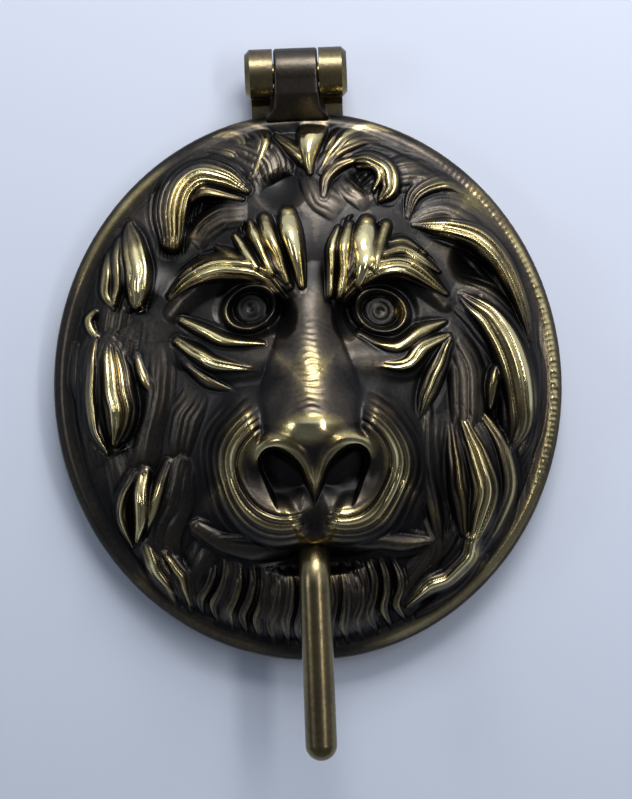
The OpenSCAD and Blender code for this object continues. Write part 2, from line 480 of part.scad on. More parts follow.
module backplate() {
    color(old_brass) difference() {
        union() {
            oval(plate_w / 2, plate_h / 2) face_forward(0) {
                cylinder(h = plate_t - plate_bevel, r = plate_w / 2);
                translate([0, 0, plate_t - plate_bevel])
                    cylinder(h = plate_bevel, r1 = plate_w / 2, r2 = plate_w / 2 - plate_bevel);
            }
            bosses(boss_r, boss_top);
            ear();
            mirror([1, 0, 0]) ear();
        }
        translate([0, eps, 0]) bosses(bolt_hole_r, boss_top - boss_end + eps);
        along_x(-hinge_len / 2 - 1) cylinder(h = hinge_len + 2, r = pin_r + pin_snug);
        translate([0, eps, hammer_z]) face_forward(0) cylinder(h = plate_t + 2 * eps, r = shank_r);
        translate([0, 0, hammer_z]) face_forward(0)
            cylinder(h = rivet_d, r1 = shank_r + rivet_d, r2 = shank_r);
    }
}

// The cast relief as one closed skin: lion in front, flat rim plane behind
module relief_skin() {
    n = relief_cells;
    drawn = [for (i = [0:n], j = [0:n]) disc_point(2 * i / n - 1, 2 * j / n - 1)];
    front = [for (p = drawn)
        [p[0] * mask_a, -mask_back - relief_height([p[0] * drawn_a, p[1] * drawn_b]), p[1] * mask_b]];
    function at(i, j) = i * (n + 1) + j;
    border = concat(
        [for (i = [0:n - 1]) at(i, 0)], [for (j = [0:n - 1]) at(n, j)],
        [for (i = [0:n - 1]) at(n - i, n)], [for (j = [0:n - 1]) at(0, n - j)]
    );
    back = [for (k = border) [front[k][0], -mask_back, front[k][2]]];
    first = len(front);
    m = len(border);
    // Each cell is cut along the diagonal that keeps cells alike in the four quarters
    cells = [for (i = [0:n - 1], j = [0:n - 1])
        let (c = [at(i, j), at(i + 1, j), at(i + 1, j + 1), at(i, j + 1)])
        each (i < n / 2) == (j < n / 2)
            ? [[c[0], c[1], c[2]], [c[0], c[2], c[3]]]
            : [[c[0], c[1], c[3]], [c[1], c[2], c[3]]]];
    wall = [for (k = [0:m - 1])
        let (l = (k + 1) % m)
        each [[border[k], first + k, first + l], [border[k], first + l, border[l]]]];
    floor_face = [[for (k = [0:m - 1]) first + m - 1 - k]];
    polyhedron(
        points = concat(front, back),
        faces = [for (f = concat(cells, wall, floor_face)) [for (v = [len(f) - 1:-1:0]) f[v]]],
        convexity = 12
    );
}

// Hollow behind the face, a dish turned about the mask's middle
module hollow() {
    steps = 9;
    rings = [for (k = [0:steps]) hollow_r * sin(90 * k / steps)];
    difference() {
        face_forward(mask_back) rotate_extrude()
            polygon(concat([[0, -1], [hollow_r, -1]], [for (k = [steps:-1:0]) [rings[k], hollow_depth(rings[k])]]));
        translate([0, 0, mouth_z]) face_forward(seat_at) cylinder(h = reach, r = seat_r);
        translate([0, 0, hammer_z]) face_forward(hammer_floor)
            cylinder(h = reach, r = hammer_r + head_air / 2);
    }
}

// Centre knuckle and the lug that carries it up from the mask
module lug() {
    foot_z = mask_b - lug_foot;
    along_x(-centre_w / 2) cylinder(h = centre_w, r = knuckle_r);
    translate([-centre_w / 2, 0, 0]) rotate([90, 0, 90]) linear_extrude(centre_w)
        polygon([
            [-mask_back, foot_z], [-mask_back, hinge_z],
            [-hinge_out - knuckle_r * 0.86, hinge_z + knuckle_r * 0.5], [-hinge_out - knuckle_r, hinge_z],
            [-hinge_out - knuckle_r * 0.9, mask_b + lug_slope], [-mask_back - border_t, foot_z]
        ]);
    face_forward(mask_back) linear_extrude(border_t) difference() {
        half = centre_w / 2 + lug_fillet;
        fillet_z = mask_b + lug_fillet - lug_dip;
        translate([-half, foot_z]) square([2 * half, fillet_z - foot_z]);
        for (side = [-1, 1]) translate([side * half, fillet_z]) circle(r = lug_fillet);
    }
}

module lion_mask() {
    color(patina) difference() {
        union() {
            relief_skin();
            lug();
        }
        hollow();
        translate([0, 0, mouth_z]) face_forward(mask_back - eps)
            cylinder(h = seat_at - mask_back + eps, r = seat_r);
        tongue_form(spigot_gap);
        translate([0, 0, hammer_z]) face_forward(mask_back - eps)
            cylinder(h = hammer_seat + eps, r = strike_r + head_air);
        translate([0, 0, hammer_z]) face_forward(mask_back) cylinder(h = hammer_seat + hammer_shank, r = shank_r);
        along_x(-centre_w) cylinder(h = 2 * centre_w, r = pin_r + pin_run);
    }
}

module hinge_pin() {
    color(bright_brass) along_x(-hinge_len / 2) cylinder(h = hinge_len, r = pin_r);
}

// The rod and its spigot, grown all round by a clearance where it is used as a cut.
// Drawn from the centre of the bend: in through the mouth, round the bend and down to the tip.
module tongue_form(grow) {
    run_in = rod_out - tongue_bend - mouth_floor;
    spigot_len = mouth_wall + washer_t + nut_h + spigot_end;
    drop = plate_h / 2 + tongue_hang - tongue_r + mouth_z - tongue_bend;
    translate([0, tongue_bend - rod_out, mouth_z - tongue_bend]) {
        translate([0, 0, tongue_bend]) rotate([-90, 0, 0]) {
            cylinder(h = run_in, r = tongue_r + grow);
            cylinder(h = run_in + spigot_len, r = spigot_r + grow);
        }
        rotate([0, 0, 180]) rotate([90, 0, 90])
            rotate_extrude(angle = 90) translate([tongue_bend, 0]) circle(r = tongue_r + grow);
        translate([0, -tongue_bend, 0]) rotate([180, 0, 0]) {
            cylinder(h = drop, r = tongue_r + grow);
            translate([0, 0, drop]) sphere(r = tongue_r + grow);
        }
    }
}

module tongue_pull() {
    color(bright_brass) tongue_form(0);
}

module tongue_washer() {
    color(old_brass) translate([0, 0, mouth_z]) face_forward(seat_at - washer_t) difference() {
        cylinder(h = washer_t, r = washer_r);
        translate([0, 0, -1]) cylinder(h = washer_t + 2, r = spigot_r + spigot_gap);
    }
}

module tongue_nut() {
    color(bright_brass) translate([0, 0, mouth_z]) face_forward(seat_at - washer_t - nut_h) difference() {
        cylinder(h = nut_h, r = nut_r, $fn = 6);
        translate([0, 0, -1]) cylinder(h = nut_h + 2, r = spigot_r);
    }
}

module hammer_stud() {
    head_h = hammer_floor - hammer_face;
    color(old_brass) translate([0, 0, hammer_z]) {
        face_forward(hammer_floor - eps) cylinder(h = hammer_shank - 0.2, r = shank_r);
        face_forward(hammer_face) {
            cylinder(h = head_h / 3, r1 = hammer_r * 0.75, r2 = hammer_r);
            translate([0, 0, head_h / 3]) cylinder(h = head_h * 2 / 3, r = hammer_r);
        }
    }
}

module strike_button() {
    color(bright_brass) translate([0, 0, hammer_z]) {
        face_forward(0) cylinder(h = plate_t + eps, r = shank_r);
        face_forward(0) cylinder(h = rivet_d, r1 = shank_r + rivet_d, r2 = shank_r);
        face_forward(plate_t) {
            cylinder(h = strike_h / 2, r = strike_r);
            translate([0, 0, strike_h / 2]) cylinder(h = strike_h / 2, r1 = strike_r, r2 = strike_r * 0.75);
        }
    }
}

backplate();
lion_mask();
hinge_pin();
tongue_pull();
tongue_washer();
tongue_nut();
hammer_stud();
strike_button();
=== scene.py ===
# %% [markdown]
# # A cast brass lion mask door knocker
# The knocker is two castings on one pin: an oval back plate that is bolted to the door, and a
# hollow lion mask that hangs in front of it. A bent rod comes out of the lion's mouth as the pull.
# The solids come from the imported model, and this script dresses them in finished surfaces.

# %% Load the frame
import itertools
import math

import bpy
import numpy as np
from mathutils import Matrix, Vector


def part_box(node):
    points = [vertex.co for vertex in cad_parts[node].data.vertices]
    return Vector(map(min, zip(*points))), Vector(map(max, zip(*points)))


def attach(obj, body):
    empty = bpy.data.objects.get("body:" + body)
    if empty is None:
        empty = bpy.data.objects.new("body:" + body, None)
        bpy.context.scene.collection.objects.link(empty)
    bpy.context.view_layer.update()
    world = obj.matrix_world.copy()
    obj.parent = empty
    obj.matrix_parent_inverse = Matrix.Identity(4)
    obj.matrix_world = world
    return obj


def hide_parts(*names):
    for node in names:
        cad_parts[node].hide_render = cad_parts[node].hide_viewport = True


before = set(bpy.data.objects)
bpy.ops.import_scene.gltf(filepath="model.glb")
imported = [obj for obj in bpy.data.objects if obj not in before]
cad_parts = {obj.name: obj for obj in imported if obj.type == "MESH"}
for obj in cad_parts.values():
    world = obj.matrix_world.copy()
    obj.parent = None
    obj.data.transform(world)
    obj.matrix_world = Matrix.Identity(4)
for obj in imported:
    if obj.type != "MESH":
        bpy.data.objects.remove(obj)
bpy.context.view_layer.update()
MM = 0.001

# %% [markdown]
# The sizes of plate, mask, pin, hammer and washer are read from the frame, so that this script
# follows the solids when they change. The mask's back is found at its outermost points.

# %% Sizes read from the frame
def box_mm(name):
    """The low and the high corner of a node's box, in millimetres."""
    return [np.array(corner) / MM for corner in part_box(name)]


plate_low, plate_high = box_mm("backplate")
mask_low, mask_high = box_mm("lion_mask")
pin_low, pin_high = box_mm("hinge_pin")
hammer_low, hammer_high = box_mm("hammer_stud")
washer_low, washer_high = box_mm("tongue_washer")
MASK_A = mask_high[0]
MASK_B = -mask_low[2]
mask_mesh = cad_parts["lion_mask"].data
mask_points = np.empty(3 * len(mask_mesh.vertices), np.float32)
mask_mesh.vertices.foreach_get("co", mask_points)
mask_points = mask_points.reshape(-1, 3) / MM
AT_THE_RIM = 0.98
MASK_BACK = -float(mask_points[np.abs(mask_points[:, 0]) > AT_THE_RIM * MASK_A, 1].max())
PIN_Y, PIN_Z = (pin_low[1] + pin_high[1]) / 2, (pin_low[2] + pin_high[2]) / 2
PIN_R = (pin_high[1] - pin_low[1]) / 2
HAMMER_Z = (hammer_low[2] + hammer_high[2]) / 2
MOUTH_Z = (washer_low[2] + washer_high[2]) / 2
print("mask half sizes", MASK_A, MASK_B, "back at", MASK_BACK, "pin at", PIN_Y, PIN_Z)

# %% [markdown]
# The photograph looks straight at the face, turned a little clockwise. The camera stands 56 cm in
# front, and its lens gives the scale at the rim that was measured in the photograph.

# %% Camera
PHOTO_H = 799
MM_PER_PX = 0.2485
CAMERA_OUT = 560.0
SENSOR_H = 24.0
ROLL = math.radians(2.2)
RIM_PLANE = 6.0
CAMERA_X, CAMERA_Z = 1.9, -3.4

camera_data = bpy.data.cameras.new("camera")
camera_data.sensor_fit = "VERTICAL"
camera_data.sensor_height = SENSOR_H
camera_data.lens = SENSOR_H * CAMERA_OUT / (PHOTO_H * MM_PER_PX)
camera_data.clip_start = 0.01
camera = bpy.data.objects.new("camera", camera_data)
right = (math.cos(ROLL), 0, -math.sin(ROLL))
up = (math.sin(ROLL), 0, math.cos(ROLL))
place = np.array([CAMERA_X, -RIM_PLANE - CAMERA_OUT, CAMERA_Z]) * MM
camera.matrix_world = Matrix([
    (right[0], up[0], 0, place[0]),
    (right[1], up[1], -1, place[1]),
    (right[2], up[2], 0, place[2]),
    (0, 0, 0, 1),
])
bpy.context.scene.collection.objects.link(camera)
bpy.context.scene.camera = camera
print("lens in mm:", round(camera_data.lens, 1))

# %% [markdown]
# Every new surface is a grid of points worked out as whole arrays. These helpers turn such points
# and their faces into an object.

# %% Mesh helpers
def new_object(name, points, faces):
    """An object at the origin, from points in millimetres and faces that name them."""
    mesh = bpy.data.meshes.new(name)
    mesh.from_pydata((np.asarray(points) * MM).tolist(), [], [tuple(f) for f in faces])
    mesh.update()
    made = bpy.data.objects.new(name, mesh)
    bpy.context.scene.collection.objects.link(made)
    return made


def make_piece(name, points, faces, body):
    """A smooth-shaded object that rides on a CAD body."""
    piece = new_object(name, points, faces)
    piece.data.shade_smooth()
    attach(piece, body)
    print(name, len(piece.data.vertices), "points", len(piece.data.polygons), "faces")
    return piece


def set_values(piece, name, values):
    """Stores one number per point, for the material to read."""
    layer = piece.data.attributes.new(name, "FLOAT", "POINT")
    layer.data.foreach_set("value", np.asarray(values, np.float32))


# %% [markdown]
# The lion is one casting. A sculptor builds such a relief on a domed oval: first the dome, then the
# masses of brow, nose and muzzle, then the locks as rolls of clay, each combed into strands. The
# same order works here on a grid of heights. The square grid is bent to the oval so that its cells
# stay alike from the middle to the rim, and no point crowds at a pole.

# %% The oval grid
FRONT_CELLS = 560
BACK_RATIO = 4
DRAWN_A, DRAWN_B = 62.6, 67.6


def disc_grid(cells):
    """The square -1..1 bent to the unit disc, its cells kept alike in size: square rings become round
    ones, and each point's angle is 45 degrees times the ratio of its two coordinates."""
    side = np.linspace(-1, 1, cells + 1)
    a, b = np.meshgrid(side, side, indexing="ij")
    wide = np.abs(a) > np.abs(b)
    safe_a = np.where(a == 0, 1, a)
    safe_b = np.where(b == 0, 1, b)
    angle_a = np.pi / 4 * b / safe_a
    angle_b = np.pi / 4 * a / safe_b
    x = np.where(wide, a * np.cos(angle_a), b * np.sin(angle_b))
    z = np.where(wide, a * np.sin(angle_a), b * np.cos(angle_b))
    return x, z


disc_x, disc_z = disc_grid(FRONT_CELLS)
X = (disc_x * DRAWN_A).ravel()
Z = (disc_z * DRAWN_B).ravel()
print("front grid", FRONT_CELLS, "cells a side,", round(2 * DRAWN_A / FRONT_CELLS, 2), "mm each")

# %% [markdown]
# A lock of hair is a row of stations: place, half width and height. A smooth curve runs through
# them, and every grid point finds its nearest place on that curve. From that come the two
# coordinates of the lock's own surface, sideways and lengthways, and its section is drawn in them.
# Three arrays gather the result: how high the locks stand, the cut round them, and their shine, which is
# polished brass with a painted highlight on it.

# %% Locks
THINNEST = 0.25


def curve_through(stations, count=72):
    """A curve through the stations, cubic from each to the next; its slope at a station is half the
    step between the two neighbours. All the stations' numbers run smoothly along it."""
    rows = np.array(stations, float)
    ends = np.vstack([2 * rows[0] - rows[1], rows, 2 * rows[-1] - rows[-2]])
    at = np.linspace(0, len(rows) - 1 - 1e-9, count)
    i = at.astype(int)
    f = (at - i)[:, None]
    a, b, c, d = ends[i], ends[i + 1], ends[i + 2], ends[i + 3]
    run = 2 * b + (c - a) * f + (2 * a - 5 * b + 4 * c - d) * f**2 + (3 * b - a - 3 * c + d) * f**3
    run *= 0.5
    run[:, 2] = np.maximum(run[:, 2], THINNEST)
    run[:, 3] = np.maximum(run[:, 3], 0)
    return run


def along(stations, reach):
    """The grid points near a curve, with their sideways place u (-1..1 across the lock), how far
    they lie past its ends e, their place lengthways t (0..1), and the height there h."""
    curve = curve_through(stations)
    last = len(curve) - 1
    pad = curve[:, 2].max() * reach
    near = np.flatnonzero(
        (X > curve[:, 0].min() - pad) & (X < curve[:, 0].max() + pad)
        & (Z > curve[:, 1].min() - pad) & (Z < curve[:, 1].max() + pad)
    )
    x, z = X[near], Z[near]
    far = np.hypot(x[:, None] - curve[None, :, 0], z[:, None] - curve[None, :, 1]) / curve[None, :, 2]
    i = far.argmin(1)
    keep = far[np.arange(len(i)), i] < reach
    near, x, z, i = near[keep], x[keep], z[keep], i[keep]
    way = np.gradient(curve[:, :2], axis=0)
    length = np.hypot(way[:, 0], way[:, 1])
    way = way / length[:, None]
    off_x, off_z = x - curve[i, 0], z - curve[i, 1]
    run = off_x * way[i, 0] + off_z * way[i, 1]
    side = off_x * way[i, 1] - off_z * way[i, 0]
    t = np.clip((i + np.clip(run / length[i], -1, 1)) / last, 0, 1)
    past = np.where((i == 0) & (run < 0), -run, 0) + np.where((i == last) & (run > 0), run, 0)
    j = np.minimum((t * last).astype(int), last - 1)
    f = t * last - j
    width = curve[j, 2] * (1 - f) + curve[j + 1, 2] * f
    height = curve[j, 3] * (1 - f) + curve[j + 1, 3] * f
    return near, side / width, past / width, t, height


stand = np.zeros_like(X)
moat = np.zeros_like(X)
polish_map_with_painted_light = np.zeros_like(X)
LOCK_REACH, SKIRT_END, FOOT_END = 1.6, 1.55, 1.5
SKIRT = 0.16
NO_LOCK = -1e3
lock_numbers = itertools.count(1)


def lock(stations, strands, groove, polish_and_painted_light, skew=0.0, power=0.85, cut=0.5, taper=0.0, broad=1.28,
         lit=(0.0, 1.0), tip=0.6, worn=0.66):
    """One lock: an arched section (1 - u^2)^power leaning by skew, combed into strands by rounded
    ridges whose valleys are as deep as groove, and set off from its ground by a cut round its foot.
    Its crest is polished brighter and carries a painted highlight, as far out as worn and over the part
    of its length named by lit; its flanks stay dark and run out in a low skirt into the hair beside it.
    All its widths are multiplied by broad and the last one by tip, and taper lets both its ends sink
    away."""
    number = next(lock_numbers)
    rows = np.array(stations, float) * (1, 1, broad, 1)
    rows[-1, 2] *= tip
    near, u, e, t, height = along(rows, LOCK_REACH)
    if taper > 0:
        height = height * np.sin(np.pi / 2 * np.clip(np.minimum(t, 1 - t) / taper, 0, 1)) ** 0.8
    out = np.hypot(u, e)
    wander = 0.07 * np.sin(2 * np.pi * (1.3 * t + 0.37 * number))
    wander += 0.04 * np.sin(2 * np.pi * 3.1 * t + number) * min(1, 3 / strands)
    leaned = u - skew * (1 - u * u)
    body = np.maximum(0, 1 - leaned**2 - e**2) ** power * (out < 1)
    phase = (u + wander) * strands / 2
    comb = np.abs(np.cos(np.pi * phase)) if strands % 2 else np.abs(np.sin(np.pi * phase))
    comb = comb**0.7
    step = 0.1 * np.sin(2.4 * phase + 1.7 * number)
    depth = groove * (1 - comb) * np.clip((1.5 - np.abs(u)) / 0.5, 0, 1)
    depth *= np.clip(np.minimum(t, 1 - t) / 0.05 + 0.35, 0, 1) * np.minimum(1, height / 2)
    skirt = SKIRT * height * np.clip((SKIRT_END - out) / 0.9, 0, 1) ** 1.5
    top = np.where(out < SKIRT_END, np.maximum(height * (body * (1 + step)), skirt) - depth, NO_LOCK)
    foot = np.clip((FOOT_END - out) / 0.5, 0, 1) * np.clip((out - 0.75) / 0.25, 0, 1)
    moat[near] = np.maximum(moat[near], cut * foot * np.minimum(1, height / 3))
    won = top > stand[near]
    stand[near] = np.where(won, top, stand[near])
    # the crest's polished shine with its painted highlight: across as far as worn, along the part named
    # by lit
    crest = np.clip((worn - np.abs(u - 1.1 * skew)) / 0.4, 0, 1) * (0.2 + 0.8 * comb)
    crest *= 0.68 + 0.32 * np.sin(3.9 * phase + 2.3 * number)
    crest *= np.clip((t - lit[0]) / 0.1 + 0.3, 0, 1) * np.clip((lit[1] - t) / 0.1 + 0.3, 0, 1)
    polish_map_with_painted_light[near] = np.where(won, polish_and_painted_light * crest, polish_map_with_painted_light[near])


# %% [markdown]
# Between the polished locks the casting isn't smooth: low dark hair lies there, combed the same way.
# It could be a pattern over the whole ground, but real hair turns with the locks above it, so it is
# made of wide flat locks of many strands. Each station is x, z, half width, height in millimetres.

# %% The low hair under the locks
HAIR_SHARE = 0.7
for stations, strands in [
    ([(-6, 50, 5, 2), (-10, 57, 7, 3), (-20, 61, 5.5, 2.6), (-33, 55, 4, 1.6)], 7),
    ([(-18, 49, 3, 1), (-25, 53, 5, 1.6), (-31, 48, 5, 1.6), (-33, 38, 3.5, 1)], 4),
    ([(-42, 40, 3, 1.4), (-44, 33, 5.5, 2.6), (-46, 22, 5, 2.4), (-50, 8, 4, 1.6)], 5),
    ([(-44, 19, 5, 2), (-49, 8, 8, 3.4), (-50, -4, 8, 3.4), (-50, -18, 4, 2)], 7),
    ([(-36, 12, 4, 1.4), (-37, 2, 5, 2), (-40, -12, 5, 2), (-43, -22, 4, 1.6)], 4),
    ([(-49, -12, 2.5, 1), (-46, -22, 4, 1.6), (-43, -34, 4.5, 2), (-36, -48, 4, 1.6)], 3),
    ([(-30, -14, 4, 1.4), (-33, -25, 5.5, 2.2), (-38, -37, 6, 2.6), (-34, -52, 5, 1.8)], 5),
    ([(-24, -38, 5, 2), (-29, -46, 5, 2.4), (-28, -55, 4, 1.6)], 4),
    ([(2, 50, 4, 2), (8, 57, 6, 3), (18, 61, 5.5, 2.8), (32, 56, 4, 1.8)], 6),
    ([(14, 46, 4, 2), (26, 52, 6, 2.6), (38, 49, 7, 2.8), (49, 38, 5, 2)], 7),
    ([(26, 40, 4, 2), (37, 42, 6.5, 3.2), (49, 33, 7, 3.2), (56, 16, 4.5, 2), (57, 0, 3, 1.4)], 7),
    ([(36, 22, 4, 1.6), (45, 16, 6.5, 3), (52, 4, 7, 3.2), (52, -12, 6, 2.4), (48, -24, 3, 1.4)], 7),
    ([(33, 14, 3, 1.4), (38, 4, 5, 2.2), (39, -8, 5, 2.2), (36, -18, 3, 1.6)], 4),
    ([(36, -6, 4, 1.8), (41, -18, 8.5, 3.6), (43, -30, 8.5, 3.8), (37, -43, 7, 3.4), (25, -53, 4, 2)], 9),
    ([(28, -32, 3, 1.4), (30, -42, 4.5, 2.4), (24, -50, 5, 2.6), (20, -58, 4, 1.8)], 4),
    ([(-19, -40, 4, 2), (-21, -50, 5, 2.8), (-22, -60, 4, 1.8)], 4),
    ([(-9, -44, 5, 2), (-11, -53, 6.5, 3), (-12, -64, 5, 1.6)], 6),
    ([(9, -44, 5, 2), (10, -53, 6.5, 3), (10, -64, 5, 1.6)], 6),
    ([(2, 52, 3, 0.6), (5, 46, 4, 1.1), (10, 42, 4, 0.6)], 4),
    ([(10, 51, 2.5, 0.6), (13, 47, 3.5, 1.3), (17, 43, 2.5, 0.6)], 3),
    ([(-13, 42, 4, 1), (-20, 42, 4, 1.6), (-27, 36, 4, 1.2)], 5),
    ([(-26, 0, 4, 1), (-30, -8, 5, 1.8), (-33, -18, 4, 1)], 6),
    ([(31, -8, 4, 1), (30, -18, 4.5, 1.8), (31, -30, 4, 1)], 6),
]:
    low = [(x, z, wide, HAIR_SHARE * tall) for x, z, wide, tall in stations]
    lock(low, strands, 0.34, 0.05, power=0.8, cut=0.3, taper=0.3, broad=1.0, tip=1.0)
print("low hair stands up to", round(float(stand.max()), 2), "mm")

# %% [markdown]
# The mane itself, lock by lock, down the left side and then from the top middle down the right. No two
# locks match from left to right, as on the real casting. After its stations each lock is given its number
# of strands, the depth of the grooves between them in millimetres, and how polished it is, with the
# painted highlight that goes with that.

# %% The mane
# top left fan, arch over the temple and the ridge inside it
lock([(-12, 52, 1.4, 1.4), (-10, 57, 1.9, 2.6), (-9, 61.5, 2.2, 3.2), (-12.5, 64.4, 1.9, 2.6),
      (-18, 64.4, 1, 1)], 2, 0.5, 0.5, skew=0.2)
lock([(-13.2, 57.5, 1.2, 1.6), (-14.6, 61.8, 1.9, 3), (-18.5, 62.9, 1.6, 2.2), (-24, 60.5, 1, 1)],
     2, 0.5, 0.6)
lock([(-14.5, 55.8, 1, 1.2), (-18, 58.6, 1.6, 2.2), (-24, 59.6, 1.4, 1.6), (-28, 57, 1, 1)],
     2, 0.5, 0.35)
lock([(-13, 48.6, 1.2, 1.6), (-18, 52.6, 3, 4.2), (-24, 54, 3.6, 5.4), (-29.6, 50.6, 3.9, 5.9),
      (-32, 44, 3.7, 5.6), (-32.2, 36.6, 2.8, 3.6)], 7, 1.15, 1.0, skew=-0.3, tip=0.9)
lock([(-28.5, 45.5, 1.3, 1.5), (-24, 48.6, 1.7, 2.6), (-14, 46, 1, 1.2)], 2, 0.5, 0.6)
# left side: upper lock, curl, long leaf and its companions
lock([(-42.6, 41.5, 1, 1.4), (-41.6, 36, 2.6, 4), (-40.6, 30, 2.9, 5.8), (-40.6, 25, 2.6, 5.6),
      (-41.2, 20.8, 1.4, 3)], 3, 0.9, 1.0, skew=-0.1, power=0.65, lit=(0.25, 1), worn=0.85)
lock([(-45.2, 37.8, 1, 1.4), (-45.4, 33, 1.7, 3.6), (-45.2, 27, 1.7, 4), (-46.4, 21.8, 1.8, 3.4)],
     3, 0.6, 0.3)
lock([(-48.2, 34.4, 0.9, 1.2), (-48.4, 30, 1.5, 2.8), (-48.8, 24.5, 1.5, 3), (-46.6, 20.6, 1.2, 2.4)],
     2, 0.4, 0.45)
lock([(-51.6, 20.4, 0.9, 1.4), (-53.4, 18.4, 1.2, 2.4), (-52.6, 15.4, 1.2, 2.2), (-50, 13.2, 1, 1.2)],
     1, 0.2, 0.8)
lock([(-48.2, 12.5, 1.6, 2), (-47.2, 7, 3.4, 4.8), (-46.2, 0, 4.1, 7), (-46, -6, 3.7, 7),
      (-47.4, -12, 2, 4)], 5, 1.2, 1.0, skew=0.05, lit=(0.1, 0.85))
lock([(-51.5, 13.5, 1.2, 1.6), (-52.4, 6, 2, 3.6), (-52.9, -2, 2.2, 4.2), (-52, -9, 1.9, 4),
      (-49.6, -14.4, 1.2, 2.6)], 3, 0.8, 0.4)
lock([(-57, 12, 1, 0.8), (-58, 4, 1.3, 1.4), (-57.6, -1, 1, 0.6)], 1, 0.2, 0.3)
lock([(-41.5, 8.5, 1, 1), (-39.8, 3, 1.5, 2.2), (-37.5, -1, 1, 1)], 1, 0.2, 0.7)
# lower left: leaf, soft ridge, jaw strands
lock([(-40.6, -19.6, 1.6, 2), (-41.6, -25, 2.2, 5), (-41.8, -31, 2, 5.2), (-43.4, -36.5, 1.2, 2.8)],
     2, 0.6, 1.0)
lock([(-43, -20, 1.4, 1.6), (-46.2, -26, 1.7, 3.6), (-46.6, -32, 1.6, 3.6), (-44.6, -38, 1, 2)],
     3, 0.7, 0.35)
lock([(-34.6, -17.4, 1.2, 1.2), (-36.8, -23, 1.7, 3), (-39, -29, 1.8, 3.4), (-40.6, -33.5, 1, 1.8)],
     1, 0.2, 0.75, lit=(0.3, 1))
lock([(-31, -17, 1.5, 1), (-34, -27, 1.9, 1.8), (-37, -32, 1.2, 1)], 2, 0.3, 0.25)
lock([(-41, -37, 2, 2), (-39, -43, 2.8, 3.2), (-36, -49, 2.6, 3), (-34.5, -54, 1.4, 1.5)], 3, 0.8, 0.4)
lock([(-36.5, -40, 1.8, 2), (-33, -46, 2.6, 3), (-31, -54, 1.6, 1.5)], 3, 0.8, 0.4)
# top middle: blade, fan, barb and the curl that turns back on itself
lock([(2.6, 52, 0.9, 1.8), (2.4, 56, 1.9, 4.6), (2.9, 60, 2.9, 5.6), (3.8, 63.4, 3.2, 5),
      (4.6, 66, 2.4, 2)], 1, 0.6, 1.0, power=0.55, broad=1.2, worn=1.1)
lock([(5.5, 53, 1, 1.5), (8.5, 58.5, 2.2, 3.6), (12.5, 62.5, 2.6, 4), (18, 63.8, 2.2, 3),
      (24, 62, 1.2, 1.5)], 3, 0.9, 0.8)
lock([(5, 52, 1, 1.2), (9.5, 57, 2, 2.8), (16, 60, 1.8, 2.6), (22, 60, 1.2, 1.4)], 2, 0.7, 0.45)
lock([(3, 52.5, 1, 1), (0, 57, 1.9, 2.8), (-5.5, 62, 1.2, 1.5)], 2, 0.5, 0.7)
lock([(5.6, 46, 0.9, 1.2), (6.6, 50.6, 1.3, 2.8), (10, 53.8, 1.4, 3), (14.5, 55.2, 1.5, 3)],
     2, 0.5, 0.2)
lock([(11.5, 55, 1, 2), (16.6, 55.2, 2, 4), (21, 52.4, 2.5, 4.8), (22, 48, 2.3, 4.2),
      (19.4, 44.4, 1.1, 2)], 3, 1.0, 0.9, lit=(0.4, 1))
lock([(14.5, 53.4, 0.8, 1), (18.2, 53, 1.1, 3.6), (19.5, 50.3, 1.2, 3.8), (17.8, 46.8, 0.8, 2)],
     1, 0.2, 1.0, cut=0.2)
lock([(8, 55.5, 0.7, 1), (11.5, 56.2, 0.9, 2), (15, 56.4, 0.7, 1)], 1, 0.2, 0.4)
# upper right: strands along the rim, fan and the big lock with its sharp lower edge
lock([(25, 59, 1.4, 1), (32, 57, 2, 2), (39, 52.5, 2.2, 2.4), (45, 46.5, 2.2, 2.4), (49.5, 40.5, 1.4, 1)],
     3, 0.6, 0.25)
lock([(26.2, 40.5, 0.9, 0.5), (28.6, 46, 2.2, 2.4), (35, 49, 3, 3.2), (42, 46.5, 3, 3),
      (48.5, 39.5, 1.8, 1.8)], 5, 0.7, 0.1)
lock([(27.5, 38.6, 0.9, 0.6), (32, 38.8, 2.3, 3), (37, 38.2, 3.2, 5.2), (43.5, 36, 3.8, 6.4),
      (48.8, 30.6, 3.6, 6.4), (52.6, 23.5, 3, 5.2), (55, 15, 2.2, 3.4), (56, 6, 1.4, 1.5)],
     7, 1.0, 1.0, skew=0.45, lit=(0.12, 0.55))
# right side: the long lock, what lies inside it and the strand beside the rim
lock([(38.5, 20.5, 1, 0.8), (42, 17.4, 2.2, 3), (45.4, 14, 2.9, 4.8), (48.6, 8.6, 3.2, 6.4),
      (51, 1, 3.2, 6.6), (52, -6, 2.9, 5.6), (51.5, -12, 2.4, 4.4), (48.8, -18, 1.2, 2)],
     3, 0.8, 1.0, skew=-0.1, power=0.6, broad=1.4, lit=(0.12, 0.75), worn=0.85)
lock([(43.5, 20, 1.2, 1.5), (52, 8.5, 1.7, 2.8), (55.4, -6, 1.5, 2.6), (51.5, -18.5, 1, 1.2)],
     1, 0.2, 0.45)
lock([(47, 4, 1.2, 2), (45.4, -1, 1.8, 3), (44.3, -7, 1.2, 1.5)], 2, 0.4, 0.7)
